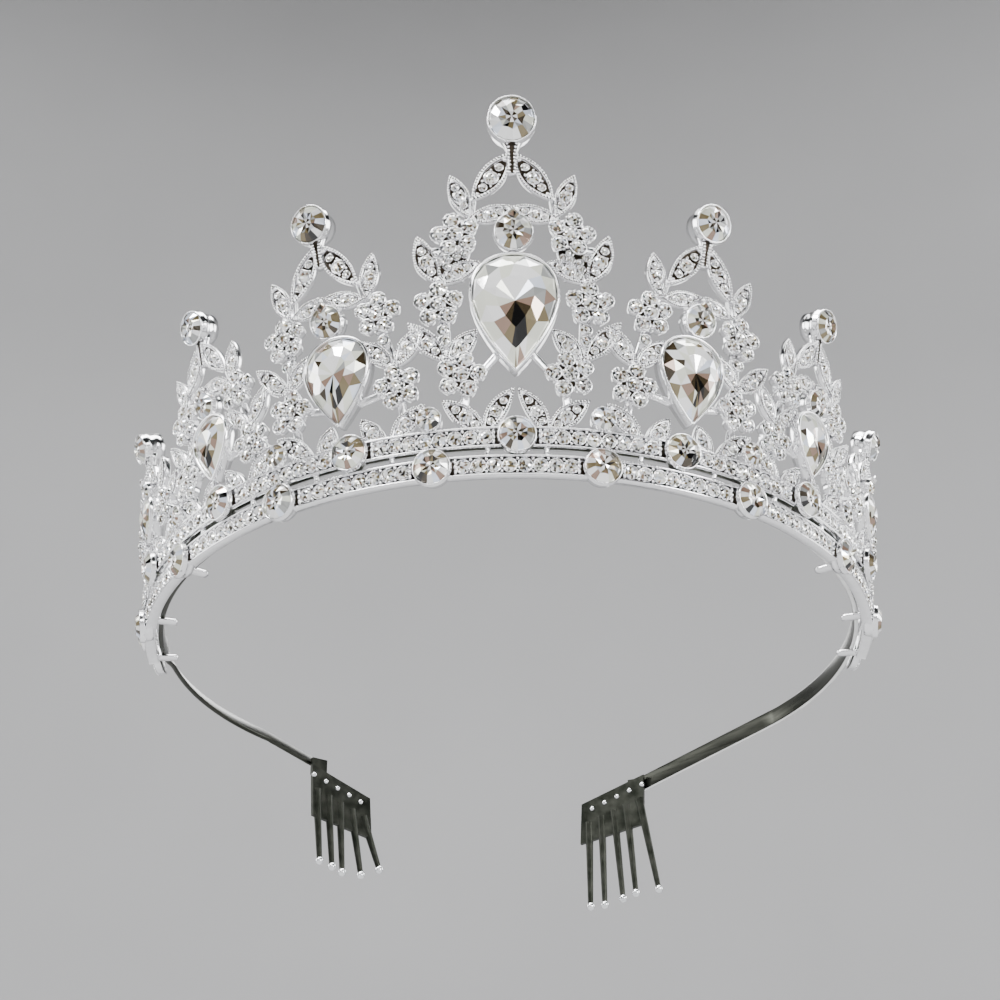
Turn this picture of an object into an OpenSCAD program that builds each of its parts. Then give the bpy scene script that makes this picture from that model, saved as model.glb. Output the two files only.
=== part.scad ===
// Rhinestone crown: a cast and pierced ring of seven peaks on two pavé rails, set with cut
// stones, on a springy steel headband that ends in two small hair combs.
// Millimetres, +Z up. The origin is the centre of the head ring at the rails' lower edge,
// and the tallest peak faces -Y.
// u is the arc length along the inner face of the lower edge, from the front towards +X.
// v is the height along the leaning face, and w is the distance outwards from its inner side.

/* [Head ring] */
// Radius of the casting's inner face at its lower edge
ring_r = 59; // [56:0.5:62]
// Lean of the casting outwards from the vertical, in degrees
flare = 9.3; // [7:0.1:11]
// Arc length along the lower edge from the front to each end of the rails
rail_end = 91.5; // [91:0.1:92.5]

/* [Rails] */
// Height of each of the two rails
rail_h = 3.1; // [3:0.05:3.2]
// Open gap between the two rails
rail_gap = 1.2; // [1.1:0.05:1.3]
// Thickness of the rails
rail_t = 1.7; // [1.5:0.05:1.9]
// Width of the raised rim along each edge of a rail
rail_rim = 0.38; // [0.3:0.02:0.45]
// Arc length between neighbouring cups on the rails
cup_pitch = 11.5; // [11.3:0.05:11.7]
// Outer radius of the cups on the rails
rail_cup_r = 2.8; // [2.6:0.05:2.9]
// Places for a rail's small stones between one cup and the next of the same rail
rail_places = 11; // [10:1:11]

/* [Pierced plate] */
// Thickness of the pierced plate
plate_t = 1.2; // [1:0.05:1.4]
// Depth of the sunk field inside each leaf
leaf_sink = 0.5; // [0.3:0.05:0.6]
// Width of the raised rim round each leaf
leaf_rim = 0.4; // [0.35:0.01:0.5]
// Height by which the petal seats stand proud of the plate
petal_rise = 0.45; // [0.3:0.05:0.6]

/* [Stones] */
// Tilt of the round cups of the peaks towards the wearer's brow, in degrees
cup_tilt = 12; // [6:1:14]
// Gap between a stone and the wall of its cup
stone_gap = 0.06; // [0.05:0.01:0.08]
// Thickness of a cup's wall
cup_wall = 0.34; // [0.3:0.01:0.4]
// Radius of the small stones in the rails
rail_stone_r = 0.97; // [0.9:0.01:0.98]
// Radius of the small stones at the flowers' centres
flower_stone_r = 0.9; // [0.84:0.02:0.94]

/* [Headband and combs] */
// Height of the steel strip
band_h = 3; // [2.6:0.1:3.2]
// Thickness of the steel strip
band_t = 0.8; // [0.7:0.05:0.9]
// Angle from the front to where the left comb starts
left_comb_at = 139; // [137:0.5:141]
// Angle from the front to where the right comb starts
right_comb_at = 151; // [149:0.5:152]
// Lean of the strip's left arm about its own length, in degrees
left_lean = 35; // [30:1:40]
// Distance between neighbouring teeth of a comb
comb_pitch = 2.6; // [2.5:0.05:2.7]

/* [Hidden] */
PEAKS = [-3, -2, -1, 0, 1, 2, 3];
RAIL_CUPS = [for (n = [-8 : 8]) n];
SIDE_CUPS = [-3, -2, -1, 1, 2, 3];

function tag(n) = n == 0 ? "front" : str(n < 0 ? "left" : "right", "_", abs(n));

// Sizes that follow from the ones above
deg_per_mm = 180 / PI / ring_r;
rail_foot = rail_h + rail_gap;
lower_v = rail_h / 2;
upper_v = rail_foot + rail_h / 2;
rail_floor = 0.75;
plate_back = 0.12;
plate_front = plate_back + plate_t;
peak_pitch = 2 * cup_pitch;
rail_stone_pitch = peak_pitch / rail_places;
merge = 0.02;
sweep_fn = 128;
cup_sides = 12;
seat_sides = 6;
petal_sides = 8;
pit_steps = 3;
cut_reach = 9;
cone_foot = -6;
cone_head = 69;
// A leaf's sunk field starts this many rim widths in from its ends
pit_ends = 2.2;
// Largest value of the pear outline's half width before it is scaled
pear_fullness = 0.77;
// Overlap of pieces of one casting that join without a step
lap = 0.3;

// Columns of PEAK, one row for each distance of a peak from the front
TIP_V = 0;
TIP_R = 1;
NECK_V = 2;
ROUND_V = 3;
ROUND_R = 4;
PEAR_V = 5;
PEAR_W = 6;
PEAR_H = 7;
LEAN = 8;
PETAL_RING = 9;
PETAL_R = 10;
PEAK = [
    [58.3, 3.85, 52.4, 38.8, 3, 25.3, 12.3, 18.5, 0, 2.4, 1.3],
    [45.6, 3.15, 41.3, 28.1, 2.65, 17.6, 9.7, 13.6, 0.125, 2.35, 1.27],
    [38.4, 2.85, 34.5, 23.6, 2.2, 15.5, 7.4, 10.2, 0.12, 2.15, 1.22],
    [28.2, 2.6, 24.6, 20.3, 1.75, 14.4, 5.8, 7.4, 0, 2.05, 1.2]
];

// Columns of LEAVES, the leaves of the right half of a peak, from the tip down
TIP_A = 0;
TIP_H = 1;
FOOT_A = 2;
FOOT_H = 3;
LEAF_W = 4;
BOW = 5;
LEAVES = [
    [
        [0.5, 52.5, 6, 44.6, 3.6, 0.2],
        [9.3, 48.9, 6.6, 41.8, 2.9, 0],
        [0, 43.2, 6.6, 41.4, 2.7, 0.3],
        [14.2, 38.9, 10.8, 30.8, 3.2, -0.4],
        [4.9, 33.9, 10.8, 30.8, 2.8, -0.3],
        [15.4, 24.6, 9.9, 18.1, 2.9, 0],
        [5.4, 22.8, 9.8, 18.1, 2.9, 0],
        [0.5, 13.2, 4.1, 6.4, 2.9, 0.3],
        [10.4, 11.8, 4.3, 6.4, 2.9, 0.2]
    ],
    [
        [0.5, 41.5, 5.5, 33.2, 3.3, 0.2],
        [8.6, 37.7, 6.4, 30.6, 2.8, 0],
        [0, 32.3, 6.1, 30.6, 2.6, 0.3],
        [13.6, 24.1, 8.7, 18.3, 2.8, 0],
        [4.3, 23.4, 8.6, 18.3, 2.7, 0],
        [2.3, 11, 5.2, 6.4, 2.7, 0.2],
        [11.7, 11.6, 6, 6.4, 2.8, 0.2]
    ],
    [
        [0.4, 34.9, 4.7, 27.8, 2.9, 0.2],
        [7.4, 31.8, 5.5, 25.6, 2.5, 0],
        [0, 27, 5.2, 25.6, 2.3, 0.2],
        [12, 21.4, 7.8, 15.9, 2.5, 0],
        [3.6, 20.4, 7.7, 15.9, 2.4, 0],
        [1.5, 10.9, 4.8, 6.4, 2.6, 0.2],
        [11.4, 11.2, 5.7, 6.4, 2.7, 0.2]
    ],
    [
        [0.4, 24.8, 4.2, 19.4, 2.6, 0.2],
        [7.2, 22.2, 5.2, 16.8, 2.3, 0],
        [12, 17.2, 7.6, 13.6, 2.4, 0],
        [1.2, 10.8, 4.6, 6.4, 2.6, 0.2],
        [11.2, 11, 5.6, 6.4, 2.7, 0.2]
    ]
];

// Columns of FLOWERS, the flowers of the right half of a peak
FLOWER_A = 0;
FLOWER_H = 1;
FLOWER_TURN = 2;
FLOWERS = [
    [[8.4, 38.6, 6], [10.8, 27.2, 18], [7.6, 15.6, 30]],
    [[7.6, 27.3, 12], [8.5, 15.1, 30]],
    [[6.5, 23.2, 12], [7.7, 13.3, 30]],
    [[6.9, 13.6, 20]]
];

// Columns of STEMS, short bars of the right half of a peak that tie the pieces together
STEM_W = 4;
STEMS = [
    [
        [6, 45, 6.5, 41, 1.2],
        [8.4, 36.4, 9.4, 31.6, 4.2],
        [2.4, 19.2, 5.2, 15.8, 1.1],
        [10.2, 25, 9.7, 16.6, 1.6],
        [7.2, 12.6, 7.4, 9.4, 1.2],
        [10.4, 36.6, 12.6, 36.4, 1.2],
        [0, 43.4, 0, 40.6, 2.2],
        [0, 36.6, 0, 34.6, 1.6],
        [10.7, 32.4, 10.8, 30, 1.3]
    ],
    [
        [5.5, 33.8, 6.1, 30.6, 1.2],
        [7.5, 24.8, 8.5, 16.6, 1.6],
        [2.2, 13.9, 5.6, 14.6, 1.1],
        [8.5, 13.6, 8.4, 9.2, 1.3],
        [0, 32.4, 0, 29.8, 2],
        [6.2, 31.4, 7.3, 29, 1.4]
    ],
    [
        [4.7, 28.2, 5.6, 24.6, 1.3],
        [6.5, 21, 7.7, 14.6, 1.4],
        [1.8, 13.2, 4.8, 13.4, 1.1],
        [7.8, 12, 8, 8.6, 1.4],
        [0, 27.2, 0, 25.2, 1.8]
    ],
    [
        [4.2, 19.8, 6.1, 14.8, 1.1],
        [1, 20.6, 4, 19.8, 1.8],
        [1.6, 12.8, 5.2, 12.8, 1.1],
        [7.2, 11.6, 7.6, 8.6, 1.2]
    ]
];

// Small pegs between the two rails, by their distance along u from the front
PEGS = [4, 17.3, 28.8, 40.2, 51.8, 63.2, 74.8, 86.2];
// Angles from the front of the tabs that clasp the headband
TAB_ANGLES = [57, 75, 88.5];

// Radius and height of a point v up the leaning face and w out from it
function face_r(v, w = 0) = ring_r + v * sin(flare) + w * cos(flare);
function face_z(v, w = 0) = v * cos(flare) - w * sin(flare);

// Arc length along the lower edge of a point x beside a station, at the height v
function arc_beside(x, v) = asin(x / face_r(v, plate_front)) / deg_per_mm;

// Sideways place on a peak's plate of a point a beside its own leaning axis
function side_x(k, a, v) = a + sign(k) * PEAK[abs(k)][LEAN] * (v - upper_v);

// Arc length along the lower edge of a point a beside the axis of peak k
function peak_u(k, a, v) = k * peak_pitch + arc_beside(side_x(k, a, v), v);

// Moves a piece drawn flat, x sideways, y up and z outwards, on to the leaning face
module at_station(u, v = 0, w = 0) {
    rotate([0, 0, u * deg_per_mm])
        translate([0, -ring_r, 0])
            rotate([90 + flare, 0, 0])
                translate([0, v, w])
                    children();
}

// The space between two distances w out from the casting's inner face
module leaning_cone(w) {
    translate([0, 0, cone_foot])
        cylinder(
            h = cone_head - cone_foot,
            r1 = ring_r + cone_foot * tan(flare) + w / cos(flare),
            r2 = ring_r + cone_head * tan(flare) + w / cos(flare),
            $fn = sweep_fn
        );
}

module leaning_shell(back, front) {
    difference() {
        leaning_cone(front);
        leaning_cone(back);
    }
}

// Outline of a leaf from foot to tip: the middle line bows by a parabola, and the half
// width follows a sine along it
function leaf_points(foot, tip, width, bow, inset = 0, steps = 4) =
    let (
        run = tip - foot,
        long = norm(run),
        along = run / long,
        across = [-along.y, along.x],
        start = inset * pit_ends / long
    )
    [
        for (side = [1, -1], i = [0 : steps - 1])
            let (
                s = side > 0 ? i / steps : 1 - i / steps,
                t = start + s * (1 - 2 * start),
                mid = foot + run * t + across * bow * 4 * t * (1 - t),
                half = max(0, (width / 2 - inset) * sin(180 * s))
            )
            mid + across * half * side
    ];

// Outline of a pear cut, round end up: half width sin(t) cos(t/2), height cos(t)
function pear_points(width, height, n = 16) =
    [
        for (i = [0 : n - 1])
            let (t = 360 * (i + 0.5) / n - 180)
            [-width / 2 / pear_fullness * sin(t) * cos(t / 2), height / 2 * cos(t)]
    ];

// Flat bar between two points
module bar_2d(a, b, width) {
    run = b - a;
    translate(a)
        rotate(atan2(run.y, run.x))
            translate([0, -width / 2])
                square([norm(run), width]);
}

// One row of LEAVES as foot and tip on peak k, mirrored where side is -1
function leaf_foot(k, row, side) = [side_x(k, side * row[FOOT_A], row[FOOT_H]), row[FOOT_H]];
function leaf_tip(k, row, side) = [side_x(k, side * row[TIP_A], row[TIP_H]), row[TIP_H]];

// The five petals and the middle of a flower, flat
module flower_2d(k) {
    ring = PEAK[abs(k)][PETAL_RING];
    petal = PEAK[abs(k)][PETAL_R];
    circle(ring, $fn = 10);
    for (i = [0 : 4])
        rotate(72 * i)
            translate([ring, 0])
                circle(petal, $fn = petal_sides);
}

// Half widths of the neck under a tip cup and where it ends below its two heights
neck_foot_half = 0.9;
neck_top_half = 1.7;
neck_drop = 2.2;

// All of a peak's plate, flat, before it is bent to the head
module peak_2d(k) {
    size = PEAK[abs(k)];
    offset(delta = merge) {
        for (side = [1, -1]) {
            for (row = LEAVES[abs(k)])
                polygon(leaf_points(
                    leaf_foot(k, row, side), leaf_tip(k, row, side),
                    row[LEAF_W], side * row[BOW]
                ));
            for (row = FLOWERS[abs(k)])
                translate([side_x(k, side * row[FLOWER_A], row[FLOWER_H]), row[FLOWER_H]])
                    rotate(90 - side * (90 - row[FLOWER_TURN]))
                        flower_2d(k);
            for (row = STEMS[abs(k)])
                bar_2d(
                    [side_x(k, side * row[TIP_A], row[TIP_H]), row[TIP_H]],
                    [side_x(k, side * row[FOOT_A], row[FOOT_H]), row[FOOT_H]],
                    row[STEM_W]
                );
        }
        neck_x = side_x(k, 0, size[NECK_V]);
        tip_x = side_x(k, 0, size[TIP_V]);
        neck_foot = size[NECK_V] - neck_drop;
        neck_top = size[TIP_V] - size[TIP_R] + 2 * lap;
        polygon([
            [neck_x - neck_foot_half, neck_foot], [neck_x + neck_foot_half, neck_foot],
            [tip_x + neck_top_half, neck_top], [tip_x - neck_top_half, neck_top]
        ]);
        translate([side_x(k, 0, size[ROUND_V]), size[ROUND_V]])
            circle(size[ROUND_R] - lap, $fn = cup_sides);
        translate([side_x(k, 0, size[PEAR_V]), size[PEAR_V]])
            polygon(pear_points(size[PEAR_W] + 0.5 * bezel_t, size[PEAR_H] + 0.5 * bezel_t));
    }
}

// One rail: a channel with a rim along each edge, swept round the head
module rail(foot) {
    sweep = 2 * rail_end * deg_per_mm;
    head = foot + rail_h;
    rotate([0, 0, -90 - sweep / 2])
        rotate_extrude(angle = sweep, $fn = sweep_fn)
            polygon([
                for (p = [
                    [foot, 0], [foot, rail_t], [foot + rail_rim, rail_t],
                    [foot + rail_rim, rail_floor], [head - rail_rim, rail_floor],
                    [head - rail_rim, rail_t], [head, rail_t], [head, 0]
                ])
                    [face_r(p[0], p[1]), face_z(p[0], p[1])]
            ]);
}

function rail_cup_v(n) = n % 2 == 0 ? upper_v : lower_v;
function side_cup_u(n) = sign(n) * ((abs(n) - 0.5) * peak_pitch + side_cup_off);
side_cup_off = 0.2;
side_cup_v = 9;
side_cup_r = 1.85;

// Heights w of the backs of the cups on the rails, in the peaks' middles and at their tips
cup_back = 0.3;
round_back = -0.2;
tip_back = -1.1;
// Heights w of a round cup's floor and of its rim, which rises with the cup's radius
cup_floor = 1;
rim_low = 1.6;
rim_rise = 0.36;
function cup_rim(r) = rim_low + r * rim_rise;
// How far past a cup's rim its hollow is cut
hollow_reach = 5;

// A stone's girdle lies this far below its cup's rim
girdle_drop = 0.35;
// Radius of the stone that fits between a cup's flat sides
function stone_in(r) = (r - cup_wall) * cos(180 / cup_sides) - stone_gap;

// Moves a piece on to the leaning face and nods it downwards about the plate's inner side
module nodding(u, v, tilt, w) {
    at_station(u, v)
        rotate([tilt, 0, 0])
            translate([0, 0, w])
                children();
}

// A round cup before its hollow is cut
module cup_body(u, v, r, back = cup_back, tilt = 0) {
    nodding(u, v, tilt, back)
        cylinder(h = cup_rim(r) - back, r = r, $fn = cup_sides);
}

module cup_hollow(u, v, r, tilt = 0) {
    nodding(u, v, tilt, cup_floor)
        cylinder(h = hollow_reach, r = r - cup_wall, $fn = cup_sides);
}

// Thickness of the wall round a pear stone, and the heights w of its back and its rim
bezel_t = 0.45;
bezel_back = -0.1;
bezel_rim = 2.5;

// The wall round a pear stone, before its hollow is cut
module pear_bezel(k) {
    size = PEAK[abs(k)];
    at_station(peak_u(k, 0, size[PEAR_V]), size[PEAR_V], bezel_back)
        linear_extrude(bezel_rim - bezel_back)
            polygon(pear_points(size[PEAR_W] + 2 * bezel_t, size[PEAR_H] + 2.2 * bezel_t));
}

module pear_hollow(k) {
    size = PEAK[abs(k)];
    at_station(peak_u(k, 0, size[PEAR_V]), size[PEAR_V], cup_floor)
        linear_extrude(hollow_reach)
            polygon(pear_points(size[PEAR_W], size[PEAR_H]));
}

// Depth to which a petal's seat is rooted in the plate, and its step in from the petal's edge
seat_root = 0.4;
seat_step = 0.27;

// Raised round seats of a flower's six stones
module flower_seats(k, row, side) {
    ring = PEAK[abs(k)][PETAL_RING];
    x0 = side_x(k, side * row[FLOWER_A], row[FLOWER_H]);
    seat_r = PEAK[abs(k)][PETAL_R] - seat_step;
    turn = 90 - side * (90 - row[FLOWER_TURN]);
    for (i = [0 : 5]) {
        reach = i == 5 ? 0 : ring;
        x = x0 + reach * cos(turn + 72 * i);
        v = row[FLOWER_H] + reach * sin(turn + 72 * i);
        at_station(k * peak_pitch + arc_beside(x, v), v, plate_front - seat_root)
            cylinder(h = seat_root + petal_rise, r = seat_r, $fn = seat_sides);
    }
}

// The sunk field inside a leaf
module leaf_pit(k, row, side) {
    foot = leaf_foot(k, row, side);
    tip = leaf_tip(k, row, side);
    middle = (foot + tip) / 2;
    at_station(k * peak_pitch + arc_beside(middle.x, middle.y), 0, plate_front - leaf_sink)
        linear_extrude(hollow_reach)
            translate([-middle.x, 0])
                polygon(leaf_points(foot, tip, row[LEAF_W], side * row[BOW], leaf_rim, pit_steps));
}

// Outer face of the headband's level stretch, and the height of its lower edge
band_gap = 0.3;
band_r = ring_r - band_gap;
band_z = 1.15;

// A tab that turns in from the rail's back under the headband
tab_w = 1.7;
tab_t = 0.55;
tab_root = 0.5;
tab_reach = 3.1;
tab_clear = 0.05;
module clasp_tab(angle) {
    rotate([0, 0, angle])
        translate([-tab_w / 2, -ring_r - tab_root, band_z - tab_clear - tab_t])
            cube([tab_w, tab_root + tab_reach, tab_t]);
}

// The pointed leaf beyond each end of the rails: its station's distance from their end, its
// foot and its tip beside that station, and its width, back and thickness
end_leaf_off = 3.2;
END_FOOT = [-3.4, 2];
END_TIP = [4.4, 0];
end_leaf_w = 3.2;
end_leaf_back = 0.2;
end_leaf_t = 1.3;
module end_leaf(side) {
    at_station(side * (rail_end + end_leaf_off), lower_v, end_leaf_back)
        linear_extrude(end_leaf_t)
            polygon(leaf_points(
                [side * END_FOOT.x, END_FOOT.y], [side * END_TIP.x, END_TIP.y], end_leaf_w, 0
            ));
}

// Width and thickness of a peg between the rails
peg_w = 1.1;
peg_t = 1;

// One peak: its plate cut straight through and bent to the leaning face, with its cups,
// bezel, petal seats and sunk leaves. Neighbours differ by a hair in thickness.
module peak_body(k) {
    size = PEAK[abs(k)];
    hair = k % 2 == 0 ? 0 : 0.03;
    u_round = peak_u(k, 0, size[ROUND_V]);
    u_tip = peak_u(k, 0, size[TIP_V]);
    difference() {
        union() {
            intersection() {
                at_station(k * peak_pitch, 0, -cut_reach / 2)
                    linear_extrude(cut_reach)
                        peak_2d(k);
                leaning_shell(plate_back + hair, plate_front - hair);
            }
            cup_body(u_round, size[ROUND_V], size[ROUND_R], round_back, cup_tilt);
            cup_body(u_tip, size[TIP_V], size[TIP_R], tip_back, cup_tilt);
            pear_bezel(k);
            for (side = [1, -1], row = FLOWERS[abs(k)])
                flower_seats(k, row, side);
        }
        cup_hollow(u_round, size[ROUND_V], size[ROUND_R], cup_tilt);
        cup_hollow(u_tip, size[TIP_V], size[TIP_R], cup_tilt);
        pear_hollow(k);
        for (side = [1, -1], row = LEAVES[abs(k)])
            leaf_pit(k, row, side);
    }
}

// The two rails with the pegs between them and the cups that stand on them
module rails_body() {
    difference() {
        union() {
            rail(0);
            rail(rail_foot);
            for (n = RAIL_CUPS)
                cup_body(n * cup_pitch, rail_cup_v(n), rail_cup_r);
            for (n = SIDE_CUPS)
                cup_body(side_cup_u(n), side_cup_v, side_cup_r);
            for (side = [1, -1], u = PEGS)
                at_station(side * u, rail_h - lap, lap)
                    translate([-peg_w / 2, 0, 0])
                        cube([peg_w, rail_gap + 2 * lap, peg_t]);
            for (side = [1, -1], angle = TAB_ANGLES)
                clasp_tab(side * angle);
            for (side = [1, -1])
                end_leaf(side);
        }
        for (n = RAIL_CUPS)
            cup_hollow(n * cup_pitch, rail_cup_v(n), rail_cup_r);
        for (n = SIDE_CUPS)
            cup_hollow(side_cup_u(n), side_cup_v, side_cup_r);
    }
}

module crown_casting() {
    color("silver") {
        rails_body();
        for (k = PEAKS)
            peak_body(k);
    }
}

// The strip's straight ends, left and right: the angle that each spans and its dip
LEFT_TAIL = [14, 11];
RIGHT_TAIL = [34, 9];
// How far a straight end laps the arc that it continues, and how far it stands off it
tail_lap = 1;
tail_step = 0.06;
// Angle by which the strip runs on past the start of each comb
comb_lap = 4;
// Angle at which the left arm takes its lean, behind the last tab, and its overlap there
lean_at = 90;
lean_lap = 2;

// The steel strip: level behind the rails, with a straight end that dips to each comb
module headband() {
    left_level = left_comb_at + comb_lap - LEFT_TAIL[0];
    right_level = right_comb_at + comb_lap - RIGHT_TAIL[0];
    color("dimgray") {
        band_arc(-lean_at - lean_lap, right_level, 0);
        band_arc(-left_level, -lean_at, left_lean);
        band_tail(-1, left_level, LEFT_TAIL, left_lean);
        band_tail(1, right_level, RIGHT_TAIL, 0);
    }
}

// The strip from one angle to another, leaned about the middle of its outer face
module band_arc(from, to, lean) {
    rotate([0, 0, from - 90])
        rotate_extrude(angle = to - from, $fn = sweep_fn)
            translate([band_r, band_z + band_h / 2])
                rotate(-lean)
                    translate([-band_t, -band_h / 2])
                        square([band_t, band_h]);
}

// One straight end of the strip, along the chord of the arc that it continues
module band_tail(side, angle, tail, lean) {
    chord = 2 * band_r * sin(tail[0] / 2);
    rotate([0, 0, side * angle])
        translate([0, -band_r - tail_step, band_z - tail_step + band_h / 2])
            rotate([0, 0, side * tail[0] / 2])
                rotate([0, side * tail[1], 0])
                    rotate([lean, 0, 0])
                        translate([side > 0 ? -tail_lap : -chord, 0, -band_h / 2])
                            cube([chord + tail_lap, band_t, band_h]);
}

// Columns of the tables of teeth, from the end by the band: lean in degrees and length
TOOTH_LEAN = 0;
TOOTH_L = 1;
LEFT_TEETH = [[5.5, 13.9], [6, 13.7], [4.5, 13.5], [11.5, 12.7], [22, 10.6]];
RIGHT_TEETH = [[-8.5, 18.6], [-2.7, 17.7], [-2.7, 17.6], [0.8, 17.5], [1.7, 16.6]];
// Slope of a comb's upper edge and the height, thickness and skew of its plate
comb_slope = 18;
comb_plate_t = 0.8;
comb_plate_h = 10;
comb_skew = 0.6;
// Part of the plate's height left at its far end
comb_far = 0.8;
// Depth below the upper edge at which the teeth start as ribs on the plate
tooth_start = 4.2;
tooth_root_r = 0.8;
tooth_end_r = 0.5;
tooth_tip_r = 0.75;
comb_w = comb_pitch * len(LEFT_TEETH);
// Seat on each plate that fills the wedge up to the strip: how far it stands out at its near
// and far ends, and the heights of its foot and top
SEAT_NEAR = 0;
SEAT_FAR = 1;
SEAT_FOOT = 2;
SEAT_TOP = 3;
LEFT_SEAT = [0.4, 0.93, -1.7, 1.6];
RIGHT_SEAT = [0.41, 1.53, -2.8, -0.5];
// Where a seat starts and ends along the plate
seat_from = 0.2;
seat_to = 3.4;

// A comb in its own frame: x along its plate away from the band, z up, y into the head
module comb(teeth, seat) {
    drop = tan(comb_slope);
    translate([0, 0, seat[SEAT_FOOT]])
        linear_extrude(seat[SEAT_TOP] - seat[SEAT_FOOT])
            polygon([
                [seat_from, -comb_plate_t / 2],
                [seat_from, -comb_plate_t - seat[SEAT_NEAR]],
                [seat_to, -comb_plate_t - seat[SEAT_FAR]],
                [seat_to, -comb_plate_t / 2]
            ]);
    rotate([90, 0, 0])
        linear_extrude(comb_plate_t)
            polygon([
                [0, 0], [comb_w, -comb_w * drop],
                [comb_w + comb_skew, -comb_w * drop - comb_plate_h * comb_far],
                [comb_skew, -comb_plate_h]
            ]);
    for (i = [0 : len(teeth) - 1]) {
        x = (i + 0.5) * comb_pitch;
        long = teeth[i][TOOTH_L];
        translate([x, -comb_plate_t / 2, -x * drop - tooth_start])
            rotate([0, 180 - teeth[i][TOOTH_LEAN], 0]) {
                cylinder(h = long, r1 = tooth_root_r, r2 = tooth_end_r, $fn = 24);
                translate([0, 0, long])
                    sphere(tooth_tip_r, $fn = 24);
            }
    }
}

// The flat plates stand far enough inside the curved strip for their ends to clear it
comb_face_r = band_r - band_t - 1.9;
comb_hang = -1;

// Moves a comb's own frame to its place inside the strip, its middle at an angle
module comb_place(middle) {
    rotate([0, 0, middle])
        translate([0, -comb_face_r + comb_plate_t, comb_hang])
            children();
}

module left_comb() {
    color("darkslategray")
        comb_place(-left_comb_at - comb_w / 2 * deg_per_mm)
            mirror([1, 0, 0])
                translate([-comb_w / 2, 0, 0])
                    comb(LEFT_TEETH, LEFT_SEAT);
}

module right_comb() {
    color("darkslategray")
        comb_place(right_comb_at + comb_w / 2 * deg_per_mm)
            translate([-comb_w / 2, 0, 0])
                comb(RIGHT_TEETH, RIGHT_SEAT);
}

// A solid through rings of equal count, each ring a list of points at one height
module ringed(rings) {
    n = len(rings[0]);
    last = len(rings) - 1;
    polyhedron(
        points = [for (ring = rings, p = ring) p],
        faces = concat(
            [[for (i = [0 : n - 1]) i]],
            [
                for (r = [0 : last - 1], i = [0 : n - 1])
                    [r * n + i, (r + 1) * n + i, (r + 1) * n + (i + 1) % n, r * n + (i + 1) % n]
            ],
            [[for (i = [0 : n - 1]) last * n + n - 1 - i]]
        )
    );
}

function at_height(points, scale, z) = [for (p = points) [p.x * scale, p.y * scale, z]];

// Proportions of the cut stones, as parts of the girdle's radius: the crown's height, half
// the girdle's thickness, and the radii of the table, the star points and the keel facet
crown_h = 0.42;
girdle_h = 0.05;
table_r = 0.56;
star_r = 0.8;
keel_r = 0.45;
// Height of the star points as a part of the crown's
star_rise = 0.62;

// Round cut stone: octagon table, stars, kites and halves above the girdle, and a
// pavilion that ends in a small flat facet, with z 0 at the girdle
module brilliant(r, pavilion) {
    crown = crown_h * r;
    girdle = girdle_h * r;
    ring = function (n, turn, radius, z)
        [for (i = [0 : n - 1]) [radius * cos(360 * i / n + turn), radius * sin(360 * i / n + turn), z]];
    polyhedron(
        points = concat(
            ring(8, 0, table_r * r, crown),
            ring(8, 22.5, star_r * r, star_rise * crown),
            ring(16, 0, r, girdle),
            ring(16, 0, r, -girdle),
            ring(8, 0, keel_r * r, -pavilion)
        ),
        faces = concat(
            [[for (i = [0 : 7]) 7 - i]],
            [for (i = [0 : 7]) [i, (i + 1) % 8, 8 + i]],
            [for (i = [0 : 7]) [i, 8 + i, 16 + 2 * i]],
            [for (i = [0 : 7]) [i, 16 + 2 * i, 8 + (i + 7) % 8]],
            [for (i = [0 : 7]) [8 + i, 17 + 2 * i, 16 + 2 * i]],
            [for (i = [0 : 7]) [8 + i, 16 + (2 * i + 2) % 16, 17 + 2 * i]],
            [for (i = [0 : 15]) [16 + i, 16 + (i + 1) % 16, 32 + (i + 1) % 16, 32 + i]],
            [for (i = [0 : 7]) [32 + 2 * i, 33 + 2 * i, 48 + i]],
            [for (i = [0 : 7]) [33 + 2 * i, 32 + (2 * i + 2) % 16, 48 + (i + 1) % 8]],
            [for (i = [0 : 7]) [33 + 2 * i, 48 + (i + 1) % 8, 48 + i]],
            [[for (i = [0 : 7]) 48 + i]]
        )
    );
}

// A round stone in the cup at u, v whose outer radius is cup_r
module cup_stone(u, v, cup_r, tilt = 0) {
    girdle_w = cup_rim(cup_r) - girdle_drop;
    color("aliceblue")
        nodding(u, v, tilt, girdle_w)
            brilliant(stone_in(cup_r), girdle_w - cup_floor - stone_gap);
}

// Depth of a pear stone's girdle below its bezel's rim, half its thickness, the crown's
// height as a part of the width, and the sizes of its keel, second row and table
pear_drop = 0.5;
pear_girdle = 0.12;
pear_crown = 0.17;
pear_keel = 0.42;
pear_row = 0.8;
pear_table = 0.46;

// Pear cut stone: table, two rows of crown facets and a pavilion
module pear_stone(k) {
    size = PEAK[abs(k)];
    outline = pear_points(size[PEAR_W] - 2 * stone_gap, size[PEAR_H] - 3 * stone_gap);
    girdle_w = bezel_rim - pear_drop;
    crown = pear_crown * size[PEAR_W];
    color("aliceblue")
        at_station(peak_u(k, 0, size[PEAR_V]), size[PEAR_V], girdle_w)
            ringed([
                at_height(outline, pear_keel, cup_floor + stone_gap - girdle_w),
                at_height(outline, 1, -pear_girdle),
                at_height(outline, 1, pear_girdle),
                at_height(outline, pear_row, star_rise * crown),
                at_height(outline, pear_table, crown)
            ]);
}

// Depth of a small stone's pointed pavilion as a part of its radius
point_h = 0.6;

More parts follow.
